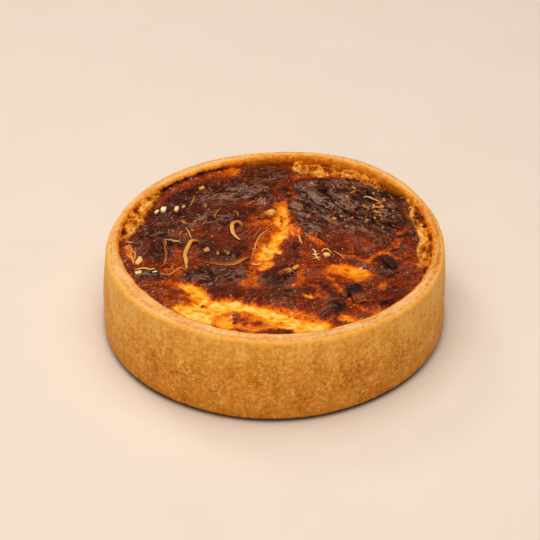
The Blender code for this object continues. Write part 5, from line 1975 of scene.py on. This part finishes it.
@dataclass(frozen=True)
class Stage:
    """The pale floor, soft studio light and the camera at the photo's angle."""

    lens: float = 107.0
    sensor: float = 36.0
    floor_reach: float = 6000.0
    floor_sides: int = 240
    # the painted shadow round the crust's foot: millimetres out from the foot, and how dark it is there
    painted_shadow: tuple = ((-6.0, 0.9), (0.3, 0.84), (1.2, 0.56), (2.2, 0.26), (3.4, 0.11), (6.0, 0.04), (12.0, 0.0))
    lamps: tuple = (
        Lamp("softbox", (-0.04, -0.05, 1.40), (0.0, 0.0, 0.0), 1.6, 21.0, (1.0, 0.98, 0.945), False),
        Lamp("front_fill", (-0.25, -1.28, 0.90), (0.0, 0.0, 0.0), 2.0, 6.8, (1.0, 0.98, 0.945)),
        Lamp("key", (-0.65, 0.85, 1.10), (0.0, 0.0, 0.03), 0.30, 3.0, (1.0, 0.93, 0.86)),
    )
    world_colour: tuple = (1.0, 0.975, 0.945)
    world_strength: float = 0.12

    def camera(self) -> None:
        """The camera, level, looking down to the back."""
        data = bpy.data.cameras.new("camera")
        data.lens = self.lens
        data.sensor_width = self.sensor
        data.clip_start = 0.05
        data.clip_end = 50.0
        made = placed("camera", data)
        made.location = centred(*VIEW.point) * MM
        made.rotation_euler = (math.pi / 2 - math.radians(VIEW.elevation), 0.0, 0.0)
        bpy.context.scene.camera = made

    def light(self, lamp: Lamp) -> None:
        """An area light, turned to face its aim."""
        data = bpy.data.lights.new(lamp.name, "AREA")
        data.size = lamp.side
        data.energy = lamp.power
        data.color = lamp.colour
        made = placed(lamp.name, data)
        made.location = lamp.place
        made.visible_glossy = lamp.gleams
        run_x, run_y, run_z = (a - b for a, b in zip(lamp.aim, lamp.place))
        tilt = math.atan2(math.hypot(run_x, run_y), -run_z)
        made.rotation_euler = (tilt, 0.0, math.atan2(run_y, run_x) - math.pi / 2)

    def floor(self, finish: Material) -> None:
        """A level floor in rings round the crust's foot, with its painted shadow at each corner."""
        sides = self.floor_sides
        away, painted_shadow = np.array(self.painted_shadow + ((self.floor_reach, 0.0),)).T
        away, turned = np.meshgrid(away, once_round(sides), indexing="ij")
        radius = SIZE.base_radius + waves(turned, SIZE.outline) + away
        rings = centred(radius * np.cos(turned), radius * np.sin(turned), 0.0 * radius).reshape(-1, 3)
        # the painted shadow is strongest at the front of the foot
        painted_shadow_share = painted_shadow[:, None] * (0.30 + 0.70 * ramp(-np.sin(turned), 0.1, 0.8))
        middle = np.arange(sides)
        fan = np.stack([np.full(sides, len(rings)), middle, (middle + 1) % sides], axis=-1)
        faces = ring_quads(len(radius), sides)[:, ::-1].tolist() + fan.tolist()
        mesh = bpy.data.meshes.new("floor")
        mesh.from_pydata((np.concatenate([rings, [[0.0, 0.0, 0.0]]]) * MM).tolist(), [], faces)
        layer = mesh.attributes.new("painted_shadow", "FLOAT", "POINT")
        layer.data.foreach_set("value", np.append(painted_shadow_share.ravel(), 0.0).astype(np.float32))
        mesh.materials.append(finish)
        placed("floor", mesh)

    def build(self, finish: Material) -> None:
        """Floor, lights, world and camera."""
        self.floor(finish)
        for lamp in self.lamps:
            self.light(lamp)
        world = bpy.data.worlds.new("studio")
        world.use_nodes = True
        background = world.node_tree.nodes["Background"]
        background.inputs["Color"].default_value = (*self.world_colour, 1.0)
        background.inputs["Strength"].default_value = self.world_strength
        bpy.context.scene.world = world
        bpy.context.scene.view_settings.view_transform = "Standard"
        self.camera()


def main() -> None:
    """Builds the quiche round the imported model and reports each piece."""
    logging.basicConfig(level=logging.INFO, format="%(name)s: %(message)s")
    marks = speckle_group()
    custard = Custard(SIZE, CustardShape(), CustardBake())
    Crust(SIZE).mesh().build(PastryFinish().build(marks), Slot.PASTRY, ("crust",))
    custard.mesh().build(CustardFinish().build(marks, folds_group()), Slot.CUSTARD, ("filling",))
    onion, scatter = Onion(custard), Scatter(custard)
    onion_finish = ONION_FINISH.build(marks)
    onion.build(onion_finish)
    onion.build_threads(onion_finish)
    Bacon(custard).build(BACON_FINISH.build(marks))
    scatter.build_dice(onion_finish)
    scatter.build_flecks(onion_finish)
    scatter.build_beads(BEAD_FINISH.build(marks))
    Stage().build(FloorFinish().build())


if __name__ == "__main__":
    main()
